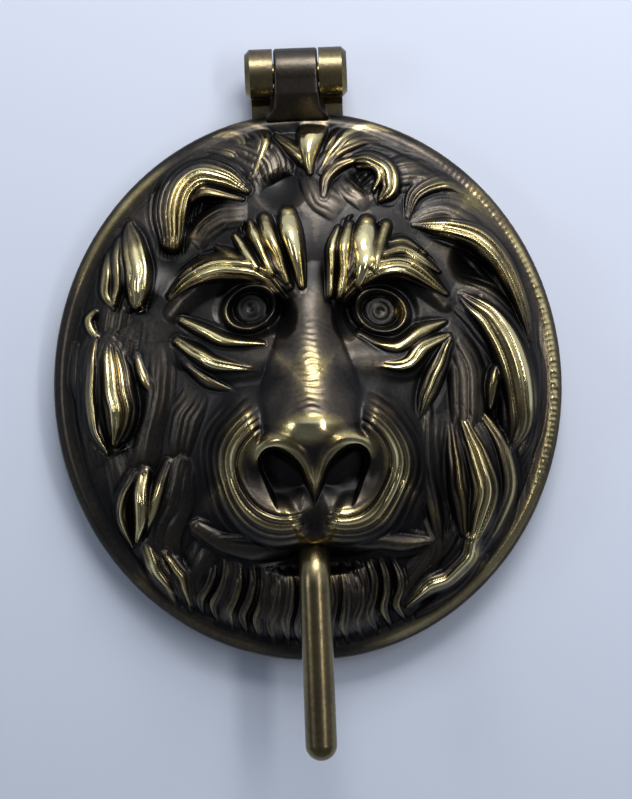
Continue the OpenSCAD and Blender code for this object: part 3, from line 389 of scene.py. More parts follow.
# lower right: the thick bundle that bends under the jaw
lock([(34.2, -10, 0.9, 0.4), (35.3, -19, 2.3, 3), (36.5, -29, 2.6, 4.2), (37, -38, 2, 3.4)],
     3, 0.9, 0.4)
lock([(36.5, -7, 0.9, 0.4), (38.8, -12.5, 2, 2.4), (41, -18.5, 3.2, 5), (42.6, -26, 3.8, 6.6),
      (41.6, -33, 3.4, 6.2), (39.2, -39.5, 2.6, 5)], 5, 1.3, 1.0, skew=0.1)
lock([(40.5, -6, 0.8, 0.4), (44.2, -11.5, 1.5, 1.8), (47.3, -18, 2.1, 3.4), (48.4, -27, 2.2, 3.8),
      (45, -36, 1.8, 3), (41, -42, 1.4, 2)], 2, 0.8, 0.55)
lock([(39, -39, 2.6, 4.6), (37.5, -44, 2.8, 4.8), (33, -48.4, 2.6, 4.4), (27.5, -50.5, 2.4, 3.6),
      (22.5, -55, 1.4, 1.8)], 3, 0.9, 0.65)
lock([(42, -44, 1.6, 2), (37, -51, 2.2, 3), (31, -54.5, 2, 2.6), (25, -57.5, 1.2, 1.4)], 2, 0.7, 0.45)
print("mane stands up to", round(float(stand.max()), 2), "mm")

# %% [markdown]
# The beard hangs from the lip in thin combed strands, dark and barely polished. All of them sway the
# same way, or they would cross, and each one spreads a little from the middle on its way down.

# %% The beard
BEARD_SWAY = [(-0.1, 0.3, 0.9, 0.8), (0.2, 0.9, 1.4, 2.4), (0.45, 0.4, 1.5, 2.9),
              (0.7, -0.7, 1.4, 2.6), (1, 0.4, 0.8, 1.2)]
BEARD_SPREAD = 0.12
for x, z, sway, length, polish_and_painted_light in [
    (-25.5, -43, 1.1, 12, 0.16), (-22.4, -42.5, 1.4, 14.5, 0.1), (-19, -44, 1.0, 15, 0.16),
    (-16, -44, 1.3, 16.5, 0.1), (-13, -45.5, 0.9, 16.5, 0.16), (-9.8, -46, 1.2, 17.5, 0.12),
    (-6.6, -46.5, 0.8, 17, 0.16), (-3.6, -47, 0.9, 17.5, 0.1), (3.4, -47, 1, 17.5, 0.1),
    (6.6, -46, 0.8, 18, 0.16), (9.6, -45.5, 1.3, 17.5, 0.16), (12.8, -44.5, 1.5, 17, 0.35),
    (16, -44.5, 1.2, 15.5, 0.2), (19, -44.5, 1.4, 14, 0.1),
]:
    lock([(x + sway * bend + BEARD_SPREAD * x * down, z - length * down, wide, tall)
          for down, bend, wide, tall in BEARD_SWAY], 2, 0.8, polish_and_painted_light, broad=1.2)
print("hair covers", round(float((stand > 0).mean()), 2), "of the grid")

# %% [markdown]
# Brows, tufts and the folds round the eyes are locks as well, only finer. Under the tufts lies one low
# lock a side, so that no hole opens between them. A tuft is a lock of one strand with a blunt section and
# a wide polished crest that carries a painted highlight.

# %% Brows, tufts and folds
lock([(-32.5, 23, 1, 1), (-27, 27.4, 2.4, 4), (-20.5, 29.6, 3.2, 6), (-14.5, 29, 3.2, 6.2),
      (-9, 26.4, 2.8, 4.6), (-4.6, 21, 1.8, 2.6)], 4, 1.5, 0.9, skew=0.1)
lock([(9.8, 20.5, 1.6, 2.4), (13.6, 24.6, 2.4, 4.4), (19.5, 27.4, 2.8, 6.4), (26.5, 26.8, 2.8, 5.4),
      (34.5, 21, 1.1, 1.5)], 5, 1.3, 0.8, skew=-0.1)
lock([(-3.5, 24, 2, 3), (-6.5, 29, 4.6, 4.6), (-8.6, 33, 5.2, 4.2), (-9.6, 35.4, 5, 2.4)],
     7, 0.6, 0.15, broad=1.0, cut=0.2, tip=0.8)
lock([(9, 22, 2, 3), (11.6, 28, 4.6, 4.8), (13.2, 32, 5.2, 4.4), (14, 34.6, 5, 2.4)],
     6, 0.6, 0.15, broad=1.0, cut=0.2, tip=0.8)
for stations, polish_and_painted_light in [
    ([(-0.4, 24, 1, 3.6), (-1.6, 31, 1.9, 6.6), (-2.8, 37, 2.4, 6.6), (-3.2, 41.4, 2, 3.4)], 1.0),
    ([(-4, 25, 0.9, 4.4), (-5.9, 31, 1.5, 6.6), (-7.9, 36, 1.9, 6.4), (-8.9, 40.6, 1.5, 3)], 1.0),
    ([(-7.4, 27, 0.9, 5.2), (-10, 33, 1.3, 6), (-11.6, 37, 1.4, 5), (-12.4, 39.8, 0.9, 2.6)], 0.6),
    ([(-11, 28.6, 1, 5.8), (-13.6, 33, 1.4, 5.4), (-16, 36.8, 0.9, 2.8)], 0.7),
    ([(-14.6, 29.6, 1, 5.6), (-17.4, 32.2, 1.3, 4.8), (-20.6, 34.2, 0.8, 2)], 0.6),
    ([(-18.6, 29.6, 0.9, 5), (-21.4, 31, 1.2, 4), (-25, 32, 0.7, 1.4)], 0.6),
    ([(6.2, 21.5, 0.8, 3), (6.9, 28, 1.1, 5), (7.2, 33, 1.2, 5), (8.8, 37.6, 0.8, 2.4)], 0.8),
    ([(8.6, 21, 0.9, 4), (9.8, 27, 1.5, 6), (10.3, 33, 1.8, 6), (11.6, 38.2, 1.2, 2.6)], 1.0),
    ([(13.2, 23.6, 1.3, 4.8), (14.5, 29, 2.6, 7), (15, 34, 2.8, 6.8), (15.8, 38.6, 2, 3.4)], 1.0),
    ([(17.2, 27, 1.4, 5.6), (18.2, 32, 1.7, 6), (20.4, 38, 1.4, 2.8)], 0.5),
]:
    lock(stations, 1, 0.3, polish_and_painted_light, broad=1.3, power=0.5, tip=0.9, cut=0.15, worn=1.0)
lock([(18.5, 30.6, 1.3, 5.4), (24, 32, 1.6, 5), (28.4, 29.8, 1.4, 3.6), (33, 26.4, 0.8, 1.4)],
     2, 0.8, 0.8)
lock([(20.5, 33.6, 1, 3), (25, 34, 1.1, 2.8), (30, 31, 0.7, 1.2)], 1, 0.2, 0.4)
lock([(-29.8, 17, 1, 1.5), (-24.5, 14.2, 1.6, 3), (-19, 11.6, 1.6, 3), (-10, 10.4, 1, 1.2)],
     1, 0.3, 0.95)
lock([(-31, 12, 1.2, 1.5), (-26.5, 9, 1.9, 3.2), (-21.5, 6, 1.9, 3), (-12, 4.4, 1.1, 1.2)], 2, 0.8, 0.8)
lock([(-29, 6, 1, 1), (-24, 2, 1.4, 1.6), (-18, -0.5, 0.9, 0.8)], 1, 0.2, 0.35)
lock([(13, 12.5, 0.9, 1), (21, 8.6, 1.6, 2.6), (27.5, 11.8, 1.9, 3.4), (33.8, 14.2, 1.1, 1.5)],
     1, 0.3, 0.9)
lock([(17.5, 4.4, 1, 1), (24, 4.4, 1.7, 2.8), (28.5, 8.6, 1.9, 3.2), (34.8, 11.2, 1.1, 1.5)],
     2, 0.8, 0.8)
lock([(35, 10, 1.2, 1.5), (31.5, 3, 2.2, 3), (28.8, -3, 2, 2.6), (26.3, -9, 1, 1)], 3, 0.8, 0.6)
lock([(28.5, -6, 1.2, 1), (28, -20, 1.9, 1.8), (30, -34, 1.6, 1.8), (31, -41, 1.1, 1.2)], 2, 0.5, 0.25)
mane = stand.copy()
print("with brows and tufts, hair covers", round(float((mane > 0).mean()), 2), "of the grid")

# %% [markdown]
# Rounded masses are drawn with two sections: one that falls away softly, for flesh over bone, and
# one as round as a ball, for the eyes.

# %% Rounded masses
def dome(x, z, a, b):
    """1 minus the squared distance from an oval's middle, measured in its half sizes: positive
    inside, 0 at the edge."""
    return 1 - ((X - x) / a) ** 2 - ((Z - z) / b) ** 2


def soft(*oval):
    """Falls away softly to its edge: the dome to the power 1.5."""
    return np.maximum(0, dome(*oval)) ** 1.5


def ball(*oval):
    """Round as a ball: the square root of the dome."""
    return np.sqrt(np.maximum(0, dome(*oval)))


def ease(low, high, values):
    """0 below low, 1 above high, and smooth between."""
    t = np.clip((values - low) / (high - low), 0, 1)
    return t * t * (3 - 2 * t)


def merged(*parts, softness=0.7):
    """The highest of several heights with its creases rounded, as clay is smoothed where two rolls
    meet: softness times the logarithm of the sum of the exponentials."""
    scaled = [part / softness for part in parts]
    at_ground = math.log(len(parts)) * np.exp(-np.maximum.reduce(scaled))
    return softness * (np.logaddexp.reduce(scaled) - at_ground)


GRID_ROWS = FRONT_CELLS + 1


def blurred(values, radius):
    """Mean over a square of cells, by running sums along both ways of the grid; the edge repeats."""
    flat = values.reshape(GRID_ROWS, GRID_ROWS)
    for axis in (0, 1):
        pad = [(radius + 1, radius) if k == axis else (0, 0) for k in (0, 1)]
        total = np.cumsum(np.pad(flat, pad, mode="edge"), axis=axis)
        far = np.take(total, range(2 * radius + 1, GRID_ROWS + 2 * radius + 1), axis=axis)
        close = np.take(total, range(GRID_ROWS), axis=axis)
        flat = (far - close) / (2 * radius + 1)
    return flat.ravel()


# %% [markdown]
# The ground is a plain border with a dome inside it. On the dome lie the broad masses of the head:
# flesh, the bones of brow and cheek, and the root of the muzzle.

# %% The dome and the bones
BORDER_T, BORDER_W, DOME_H = 4.6, 4.5, 16.0
MID_X, BRIDGE_X = 0.6, 0.8
share = np.hypot(X / DRAWN_A, Z / DRAWN_B)
rise_at = 1 - BORDER_W / DRAWN_A
field = BORDER_T + DOME_H * np.maximum(0, 1 - (share / rise_at) ** 2) ** 0.8
flesh = 4.5 * soft(1, -6, 33, 46) + 3.0 * soft(3, 40, 26, 16)


def ridge(stations, power):
    """A plain swelling along a curve, for bone and muscle under the skin: (1 - u^2 - e^2)^power."""
    near, u, e, _, tall = along(stations, 1.0)
    rise = np.zeros_like(X)
    rise[near] = tall * np.maximum(0, 1 - u * u - e * e) ** power
    return rise


bones = np.maximum.reduce([
    ridge([(-4, 24, 4, 2), (-14, 29, 5.5, 4.2), (-25, 26, 5, 3.2), (-32, 19, 3, 1)], 1.7),
    ridge([(9, 23, 4, 2), (18, 28, 5.5, 4.2), (28, 25.5, 5, 3.2), (34, 19, 3, 1)], 1.7),
    ridge([(-8, 6, 5, 1.5), (-19, 6.5, 6.5, 2.6), (-29, 8, 4, 1.5)], 1.7),
    ridge([(12, 6, 5, 1.5), (23, 6, 6.5, 2.6), (32, 9, 4, 1.5)], 1.7),
])
muzzle_root = 4.0 * soft(0.5, -9, 22, 28)
print("bones stand up to", round(float(bones.max()), 2), "mm")

# %% [markdown]
# Narrow between the eyes, the nose widens like a bell and rises to its ball, and its front then
# falls away between the nostrils. A table of half widths and heights says so from below upwards.

# %% The nose
def nose_height():
    """Across, the section is (1 - u^2)^p: sides that run out into the cheeks above, and a broad
    blunt end below."""
    down, half, tall = np.array([
        (-30, 1, 0), (-26, 2, 2.8), (-22, 5, 5.4), (-18, 9, 7), (-14.5, 14.5, 8.2), (-12, 15.8, 8.9),
        (-9, 16, 8.9), (-4, 14.5, 7.9), (4, 10.5, 5.9), (14, 7.2, 3.8), (22, 5.6, 2), (30, 4, 0),
    ]).T
    w = np.interp(Z, down, half)
    h = np.interp(Z, down, tall)
    p = np.interp(Z, [-14, -9, 0], [0.45, 0.7, 1.15])
    u = np.abs(X - MID_X) / w
    return h * np.maximum(0, 1 - u * u) ** p


nose = nose_height()
on_bridge = ease(6.0, 2.4, np.abs(X - BRIDGE_X)) * ease(18, 13, Z) * ease(-8.5, -5, Z)
nose += 0.4 * soft(1, -9.8, 8.5, 4.6)
WRINKLE_STEP = 1.5
wrinkle = Z + 0.05 * (X - BRIDGE_X) ** 2 + 0.22 * np.sin(1.3 * X + 0.5 * Z)
wrinkle_depth = 0.13 + 0.05 * np.sin(0.9 * X + 1.1 * Z)
nose -= wrinkle_depth * np.abs(np.sin(np.pi * wrinkle / WRINKLE_STEP)) * on_bridge
print("nose stands", round(float(nose.max()), 1), "mm above the face")

# %% [markdown]
# The muzzle is a cushion round each nostril, and its whisker lines are rings on it, bent by a slow
# wave so that they look cut by hand.

# %% The muzzle
CUSHION_LEFT, CUSHION_RIGHT, CUSHION_Z = -6.5, 7.7, -19.5
WHISKER_STEP = 1.75
on_left = X < MID_X
left_ring = np.hypot((X - CUSHION_LEFT) / 1.02, (Z - CUSHION_Z) / 1.12)
right_ring = np.hypot((X - CUSHION_RIGHT) / 1.05, (Z - CUSHION_Z) / 1.12)
whisker = np.where(on_left, left_ring, right_ring)
cushion = 9.0 * np.exp(-(((whisker - 12.0) / np.where(whisker < 12.0, 7.2, 5.2)) ** 2))
outward = np.where(on_left, CUSHION_LEFT - X, X - CUSHION_RIGHT)
beside = ease(-2, 4, outward - 0.4 * (Z - CUSHION_Z))
muzzle = cushion * (0.35 + 0.65 * beside) * ease(6.0, -4.0, Z)
ring_place = whisker + 0.45 * np.sin(0.3 * Z + X * 0.17)
whisker_line = np.abs(np.sin(np.pi * ring_place / WHISKER_STEP)) ** 0.8
whisker_cut = beside * ease(8.5, 10, whisker) * ease(21, 18.5, whisker) * ease(1, -9, Z)
muzzle -= (0.85 + 0.3 * np.sin(1.9 * whisker)) * (1 - whisker_line) * whisker_cut
muzzle = np.maximum(muzzle, 0)
print("muzzle stands up to", round(float(muzzle.max()), 2), "mm")

# %% [markdown]
# A rolled wing runs over each nostril. The nostrils are cut in after everything else has been joined,
# or their edges would be rounded with it. The chin carries the beard's strands a second time.

# %% Nostrils, lip and chin
wings = np.maximum.reduce([
    ridge([(-13.4, -22.5, 1.2, 3), (-13.6, -17.5, 2.2, 6), (-10.4, -13.6, 3, 8), (-6, -13, 3, 8.6),
           (-1.6, -16, 2.4, 8.2), (0.3, -21.5, 1.5, 6.2), (1, -26, 0.9, 3.4)], 0.6),
    ridge([(14, -23, 1.2, 3), (15.4, -18, 2.2, 6), (12.4, -13.6, 3, 8), (7.4, -13, 3, 8.6),
           (3.4, -16, 2.4, 8.2), (1.6, -21.5, 1.5, 6.2), (1, -26, 0.9, 3.4)], 0.6),
])


def cave(x, lean):
    """A nostril: its roof is half an oval with a sharp edge, and downwards it opens and runs out."""
    off = (X - x - lean * (Z + 20)) / 5.1
    roof = np.sqrt(off**2 + (np.maximum(Z + 20, 0) / 5.6) ** 2)
    return ease(1.03, 0.8, roof) * ease(-31, -20, Z)


caves = np.maximum(cave(-6.8, -0.35), cave(8.6, 0.4))
cave_depth = 5.0 * caves + 1.2 * soft(0.5, -31, 3.4, 8)
lip = 5.8 * np.maximum(0, dome(0.5, -31, 12, 11)) ** 0.8
under_lip = mane * ease(-42, -46, Z) * ease(22, 18, np.abs(X))
chin = 4.8 * np.maximum(0, dome(0.5, -54, 18, 9.6)) ** 0.7
chin = chin + 0.75 * (under_lip - blurred(under_lip, 6)) - 0.5 * ease(-44, -50, Z)
print("nostrils are up to", round(float(cave_depth.max()), 2), "mm deep")

# %% [markdown]
# The eyes lie deep in their sockets, each a ball with a ring and a pupil cut in and a lid as a ring
# round it. Then the parts of the face are joined.

# %% The eyes and the face as a whole
EYES = [(-13, 19.3), (18.3, 17.4)]
LID_R = 5.3
sockets = 6.5 * np.maximum(soft(-13, 19, 9.5, 8), soft(18.5, 17, 9.5, 8))
sockets += 3.0 * np.maximum(soft(-5.5, 17, 4, 6), soft(10.2, 16, 4, 6))
eyes = np.zeros_like(X)
lids = np.zeros_like(X)
for eye_x, eye_z in EYES:
    r = np.hypot(X - eye_x, Z - eye_z)
    eyes = np.maximum(eyes, 5.0 * ball(eye_x, eye_z, 4.8, 4.3))
    eyes -= 0.3 * np.exp(-(((r - 2.4) / 0.5) ** 2)) + 0.6 * np.exp(-((r / 0.9) ** 2))
    slant = 0.12 * (X - eye_x) * np.sign(eye_x)
    rim_r = np.hypot((X - eye_x) / 1.1, (Z - eye_z + slant) / 0.92)
    lids = np.maximum(lids, (4.9 + 0.05 * (Z - eye_z)) * np.exp(-(((rim_r - LID_R) / 1.15) ** 2)))
mouth = 4.5 * soft(0.5, -42, 16, 4.5)
pockets = np.maximum.reduce([
    4.0 * soft(-24.5, 43.5, 7.5, 7), 3.5 * soft(42.5, 28.5, 7.5, 7), 3.2 * soft(45.5, -11, 4.5, 8),
    3.2 * soft(14.5, 49, 5, 4), 3.0 * soft(-4.5, 49, 7, 7), 2.4 * soft(-31, 30, 8, 8),
])
head_forms = muzzle_root + bones
face = np.maximum(merged(nose, muzzle, lip, chin, wings), np.maximum(eyes, lids)) + head_forms
print("face stands up to", round(float(face.max()), 2), "mm")

# %% [markdown]
# The lips are folds over the mouth, drawn as plain locks of one strand on an empty ground.

# %% Lips
stand[:] = 0
lock([(-28, -33.5, 1.2, 0.8), (-22, -37.4, 2, 1.6), (-14, -39.8, 2.1, 1.9), (-6, -40.6, 1.6, 1.6)],
     1, 0.1, 0.05)
lock([(3, -38.8, 1.5, 1.6), (10, -38.9, 2, 1.9), (16, -38.2, 2, 1.9), (22, -39.2, 1.8, 1.7),
      (29, -39, 1.2, 0.9)], 1, 0.1, 0.1)
lock([(-24, -36, 0.8, 1), (-15, -36.4, 1.2, 1.8), (-7, -37.8, 1, 1.4)], 1, 0.1, 0.08)
lips = stand.copy()
print("lips stand up to", round(float(lips.max()), 2), "mm")

# %% [markdown]
# Field, flesh and locks are added up. The cut round each lock and the fade at the border keep the
# locks crisp and the rim plain, as a chaser would. The rim's right half has small notches. One mean
# over neighbouring cells takes the steps out of the sharpest edges.

# %% The whole relief
turned = np.degrees(np.arctan2(Z, X))
around = np.radians(turned)


def arc(start, full, full_end, end):
    """1 on a part of the rim, between two angles in degrees, easing out to 0 on both sides of it."""
    return ease(start, full, turned) * ease(end, full_end, turned)


NOTCH_DEPTH = 0.2
LIP_STEP = 0.8
edge_drop = 1.6 * np.clip((share - 0.96) / 0.04, 0, 1) ** 2
chased = np.abs(np.sin(around * 61 + 50 * share)) * (0.6 + 0.4 * np.sin(around * 17 + 2))
chased += 0.5 * np.abs(np.sin(around * 143))
notches = NOTCH_DEPTH * chased * arc(-35, -15, 50, 62)
edge_drop += notches * ease(0.955, 0.965, share) * ease(0.995, 0.985, share)
fade = ease(0.965, 0.915, share)
face_top = face - cave_depth * ease(2, 6, face)
lip_top = lips + LIP_STEP * lips.astype(bool) + head_forms
mane_top = mane + 0.6 * head_forms * (mane > 0)
standing = np.maximum.reduce([face_top, lip_top, mane_top])
cut_round = moat * np.clip(1 - standing / 3.0, 0, 1)
built_up = flesh + standing - cut_round - pockets * np.clip(1 - mane, 0, 1)
height = field - edge_drop - sockets - mouth + fade * built_up
height = 0.5 * height + 0.5 * blurred(height, 1)
print("relief from", round(float(height.min()), 2), "to", round(float(height.max()), 2), "mm")

# %% [markdown]
# Hands and cloth keep polished what stands out, and tarnish stays where neither reaches. A mask by slope
# or height alone would miss what the photograph shows, so three values are stored at each point: the
# polished shine with the painted highlights and painted shade drawn with each lock and spot, and how far
# the point lies above or below its surroundings.

# %% Where the brass is worn, and where highlights and shade are painted
raised = 0.4 * (height - blurred(height, 7)) + 0.6 * (height - blurred(height, 16))
hollowed = blurred(height, 20) - height
near_eyes = np.maximum(soft(-13, 19, 11, 9), soft(18, 17, 11, 9))
# painted shade round the eyes: their shine is taken away in the sockets
polish_map_with_painted_light = np.clip(polish_map_with_painted_light - 0.5 * near_eyes, 0, 1)
comb_lines = 0.15 + 0.85 * whisker_line * (0.6 + 0.4 * np.sin(2.6 * whisker + 1))
on_cushion = np.exp(-(((whisker - 12.5) / 3.0) ** 2)) * beside
# painted highlight along the lower parts of the cushions
painted_highlight_band = np.where(on_left, ease(-36, -28, Z) * ease(-2, -8, Z), ease(-36, -32, Z) * ease(-8, -17, Z))
# polished brass with painted highlights on it: the ball and bridge of the nose, over the nostrils and
# between them, the outer lid of the right eye, and the lower cushions along their whisker lines
for spot in [
    0.8 * soft(0.5, -10.2, 9.5, 5), 0.28 * soft(0.5, 3, 6, 13), 0.5 * soft(-12.6, -15, 3, 4),
    0.35 * soft(14, -15, 3, 4), 0.3 * soft(0.8, -22, 1.6, 4), 0.7 * soft(22.8, 17.2, 1.8, 3.8),
    np.where(on_left, 0.5, 0.68) * on_cushion * painted_highlight_band * comb_lines,
]:
    polish_map_with_painted_light = np.maximum(polish_map_with_painted_light, spot)
# painted shade round the eyes: the brightening of what stands out is taken away there too
raised *= 1 - 0.95 * np.minimum(1, 1.6 * near_eyes)
# painted shade on the upper parts of the cushions, above their painted highlight
raised *= 1 - 0.85 * on_cushion * ease(-15, -7, Z)
# painted highlights on the flange: a band on the right side and a fainter one at the upper left
on_flange = ease(0.9, 0.93, share)
polish_map_with_painted_light = np.maximum(polish_map_with_painted_light, on_flange * (0.34 * arc(-50, -35, 45, 60) + 0.12 * arc(110, 125, 150, 165)))
# painted shade: darker on the forehead, the left cheek, the lower right beside the beard and inside the
# left arch
painted_shade = np.maximum.reduce([
    1.3 * soft(1, 46, 18, 9), soft(-31, -10, 10, 20), soft(27, -44, 13, 8), soft(-28, 38, 9, 7),
])
polish_map_with_painted_light -= 0.16 * painted_shade
# painted highlight on the rim: strong on the right and lower right, weaker at the upper left and lower
# left
on_rim = np.exp(-(((share - 0.978) / 0.016) ** 2))
rim_painted_highlight = 0.85 * arc(-85, -70, 30, 45) + 0.5 * arc(115, 125, 150, 160)
rim_painted_highlight += 0.3 * arc(-140, -130, -105, -95)
polish_map_with_painted_light = np.maximum(polish_map_with_painted_light, on_rim * rim_painted_highlight)
print("polished share of the grid:", round(float((polish_map_with_painted_light > 0.5).mean()), 3))

# %% [markdown]
# The casting is closed behind: the rim's flat back, the hollow dish, the pad of the washer and the
# pocket of the hammer. The back has a quarter as many cells a side as the front, and a wall joins
# the two loops. The skin is cut into five blocks of the grid, each a closed body of its own, because
# one body would have more triangles than a piece may have.

# %% The mask as one closed skin
WALL, HOLLOW_EDGE = 6.0, 8.0
SEAT_R, POCKET_R, POCKET_DEPTH = 7.0, 6.4, 4.0


def back_depth(x, z):
    """Depth of the hollow in the mask's back, at points in millimetres."""
    r = np.hypot(x, z)
    hollow_r = MASK_A - HOLLOW_EDGE
    dish = BORDER_T + DOME_H * np.maximum(0, 1 - (r / MASK_A / rise_at) ** 2) ** 0.8 - WALL
    depth = np.where(r < hollow_r, np.maximum(dish, 0), 0) * ease(0, 1.2, hollow_r - r)
    washer = np.hypot(x, z - MOUTH_Z)
    seat = -washer_low[1] - MASK_BACK
    depth = np.where(washer < SEAT_R, seat, depth)
    hammer = np.hypot(x, z - HAMMER_Z)
    return np.where(hammer < POCKET_R, POCKET_DEPTH, depth)


front_y = -MASK_BACK - height.reshape(GRID_ROWS, GRID_ROWS)
front = np.stack([disc_x * MASK_A, front_y, disc_z * MASK_B], axis=2)
slope_a = np.gradient(front, axis=0)
slope_b = np.gradient(front, axis=1)
front_normal = np.cross(slope_a, slope_b)
front_normal /= np.linalg.norm(front_normal, axis=2, keepdims=True)
rear_x, rear_z = (part[::BACK_RATIO, ::BACK_RATIO] for part in (disc_x * MASK_A, disc_z * MASK_B))
rear = np.stack([rear_x, -MASK_BACK - back_depth(rear_x, rear_z), rear_z], axis=2)
stored_values = {name: values.reshape(GRID_ROWS, GRID_ROWS) for name, values in
                 [("polish_and_painted_light", polish_map_with_painted_light), ("raised", raised), ("hollowed", hollowed)]}


def loop_of(count_i, count_j):
    """The outer points of a block of (count_i + 1) x (count_j + 1), in order, once round."""
    n = count_j + 1
    i, j = np.arange(count_i), np.arange(count_j)
    return np.concatenate([i * n, count_i * n + j, (count_i - i) * n + count_j, count_j - j])


def block_faces(count_i, count_j, first=0):
    """One face of four points for each cell of a block."""
    n = count_j + 1
    i, j = np.meshgrid(np.arange(count_i), np.arange(count_j), indexing="ij")
    corner = (first + i * n + j).ravel()
    return np.stack([corner, corner + n, corner + n + 1, corner + 1], axis=1)


def casting(name, i0, i1, j0, j1):
    """One block of the grid as a closed body: its front, its coarser back, and a wall round it whose
    faces join several front points to each pair of back points. Neighbours share points and
    normals, so the front runs through without a seam."""
    points = front[i0:i1 + 1, j0:j1 + 1].reshape(-1, 3)
    k = BACK_RATIO
    back_block = rear[i0 // k:i1 // k + 1, j0 // k:j1 // k + 1]
    faces_front = block_faces(i1 - i0, j1 - j0)
    faces_back = block_faces((i1 - i0) // k, (j1 - j0) // k, len(points))[:, ::-1]
    outer = loop_of(i1 - i0, j1 - j0)
    inner = loop_of((i1 - i0) // k, (j1 - j0) // k) + len(points)
    outer_next = np.roll(outer, -k).reshape(-1, k)[:, 0]
    outer = outer.reshape(-1, k)
    sides = zip(outer, outer_next, inner, np.roll(inner, -1))
    wall = [(a[0], i, j, c, *a[:0:-1]) for a, c, i, j in sides]
    piece = make_piece(name, np.vstack([points, back_block.reshape(-1, 3)]),
                       list(faces_front) + list(faces_back) + wall, "mask")
    mesh = piece.data
    totals = np.empty(len(mesh.polygons), np.int32)
    flat_normals = np.empty(3 * len(mesh.polygons), np.float32)
    mesh.polygons.foreach_get("loop_total", totals)
    mesh.polygons.foreach_get("normal", flat_normals)
    normals = np.repeat(flat_normals.reshape(-1, 3), totals, axis=0)
    block_normals = front_normal[i0:i1 + 1, j0:j1 + 1].reshape(-1, 3)
    normals[:faces_front.size] = block_normals[faces_front.ravel()]
    mesh.normals_split_custom_set(normals.tolist())
    for key, values in stored_values.items():
        block = values[i0:i1 + 1, j0:j1 + 1].ravel()
        set_values(piece, key, np.concatenate([block, np.zeros(back_block.size // 3)]))
    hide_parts("lion_mask")
    return piece


Q = FRONT_CELLS // 4
lion_parts = [
    casting("lion_face", Q, 3 * Q, Q, 3 * Q),
    casting("mane_left", 0, Q, 0, 4 * Q),
    casting("mane_right", 3 * Q, 4 * Q, 0, 4 * Q),
    casting("mane_crown", Q, 3 * Q, 3 * Q, 4 * Q),
    casting("lion_beard", Q, 3 * Q, 0, Q),
]

# %% [markdown]
# The mask hangs from its middle knuckle, a lug cast in one piece with the border. Its side view is
# star-shaped about the pin, so one closed loop of radii describes it, and that loop is carried
# from side to side along x with its edges rounded. The bore goes through on the pin's axis.

# %% The middle knuckle
EAR_W, SIDE_PLAY, KNUCKLE_R = 6.8, 0.35, 6.2
BORE_PLAY, LUG_SET_OUT = 0.06, 0.05
LUG_HALF = (pin_high[0] - pin_low[0]) / 2 - EAR_W - SIDE_PLAY
LUG_ROUND, LUG_FLARE = 0.7, 2.4
LUG_ANGLES = 120


def reach_of(corners, angle):
    """Distance from the origin to a star-shaped outline along each angle: the ray meets one of the
    straight sides between two corners."""
    a = np.array(corners, float)
    d = np.roll(a, -1, axis=0) - a
    ray = np.stack([np.cos(angle), np.sin(angle)], axis=1)[:, None, :]
    across = ray[..., 0] * d[None, :, 1] - ray[..., 1] * d[None, :, 0]
    across = np.where(np.abs(across) < 1e-9, 1e-9, across)
    far = (a[None, :, 0] * d[None, :, 1] - a[None, :, 1] * d[None, :, 0]) / across
    place = (a[None, :, 0] * ray[..., 1] - a[None, :, 1] * ray[..., 0]) / across
    hit = (far > 0) & (place > -1e-6) & (place < 1 + 1e-6)
    return np.where(hit, far, np.inf).min(axis=1)


def knuckle_points():
    """Rings round the pin from the left bore mouth over the rounded edge, across, and back to the
    right bore mouth. Each ring has its own x and is drawn in by the rounding; the foot flares."""
    angle = np.linspace(0, 2 * np.pi, LUG_ANGLES, endpoint=False)
    back = -MASK_BACK - LUG_SET_OUT - PIN_Y
    foot = MASK_B - 2.0 - PIN_Z
    side_view = [(back, foot), (back, 0.0), (-5.3, 3.1), (-KNUCKLE_R, 0.0),
                 (-5.2, MASK_B + 4 - PIN_Z), (-0.5, foot)]
    outline = np.maximum(KNUCKLE_R, reach_of(side_view, angle))
    turn = np.linspace(0, np.pi / 2, 6)
    edge_x = LUG_HALF - LUG_ROUND * (1 - np.sin(turn))
    half = np.linspace(0, LUG_HALF - LUG_ROUND, 6)[:-1]
    x_half = np.concatenate([half, edge_x])
    in_half = np.concatenate([np.zeros(5), LUG_ROUND * (1 - np.cos(turn))])
    x = np.concatenate([-x_half[::-1], x_half[1:]])
    drawn_in = np.concatenate([in_half[::-1], in_half[1:]])
    radii = outline[None, :] - drawn_in[:, None]
    bore = np.full((1, LUG_ANGLES), PIN_R + BORE_PLAY)
    radii = np.concatenate([bore, radii, bore])
    x = np.concatenate([[x[0]], x, [x[-1]]])
    y = PIN_Y + radii * np.cos(angle)
    z = PIN_Z + radii * np.sin(angle)
    flare = 1 + LUG_FLARE / LUG_HALF * (1 - ease(MASK_B - 1.5, MASK_B + 2.4, z)) ** 1.5
    return np.stack([x[:, None] * flare, y, z], axis=2)


def closed_faces(rings, n):
    """Faces of a grid of rings of n points that closes both ways, like a ring's skin."""
    i, j = np.meshgrid(np.arange(rings), np.arange(n), indexing="ij")
    next_i, next_j = (i + 1) % rings, (j + 1) % n
    corners = [i * n + j, i * n + next_j, next_i * n + next_j, next_i * n + j]
    return np.stack(corners, axis=2).reshape(-1, 4)


knuckle = knuckle_points()
knuckle_faces = closed_faces(*knuckle.shape[:2])
mask_knuckle = make_piece("mask_knuckle", knuckle.reshape(-1, 3), knuckle_faces, "mask")
mask_knuckle.data.set_sharp_from_angle(angle=math.radians(50))
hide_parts("lion_mask")

# %% [markdown]
# The whole knocker is one metal in several states. Brass that is left alone turns dark brown in the
# recesses, and handling keeps the high places bright. One node group describes that ageing: it takes how
# worn a place is and gives the colour, roughness and a fine surface. Each material works out its own
# wear, from the values stored on the relief or from soft spots in the metal; on the lion and the plate,
# painted highlights and painted shade are laid into that wear as well.

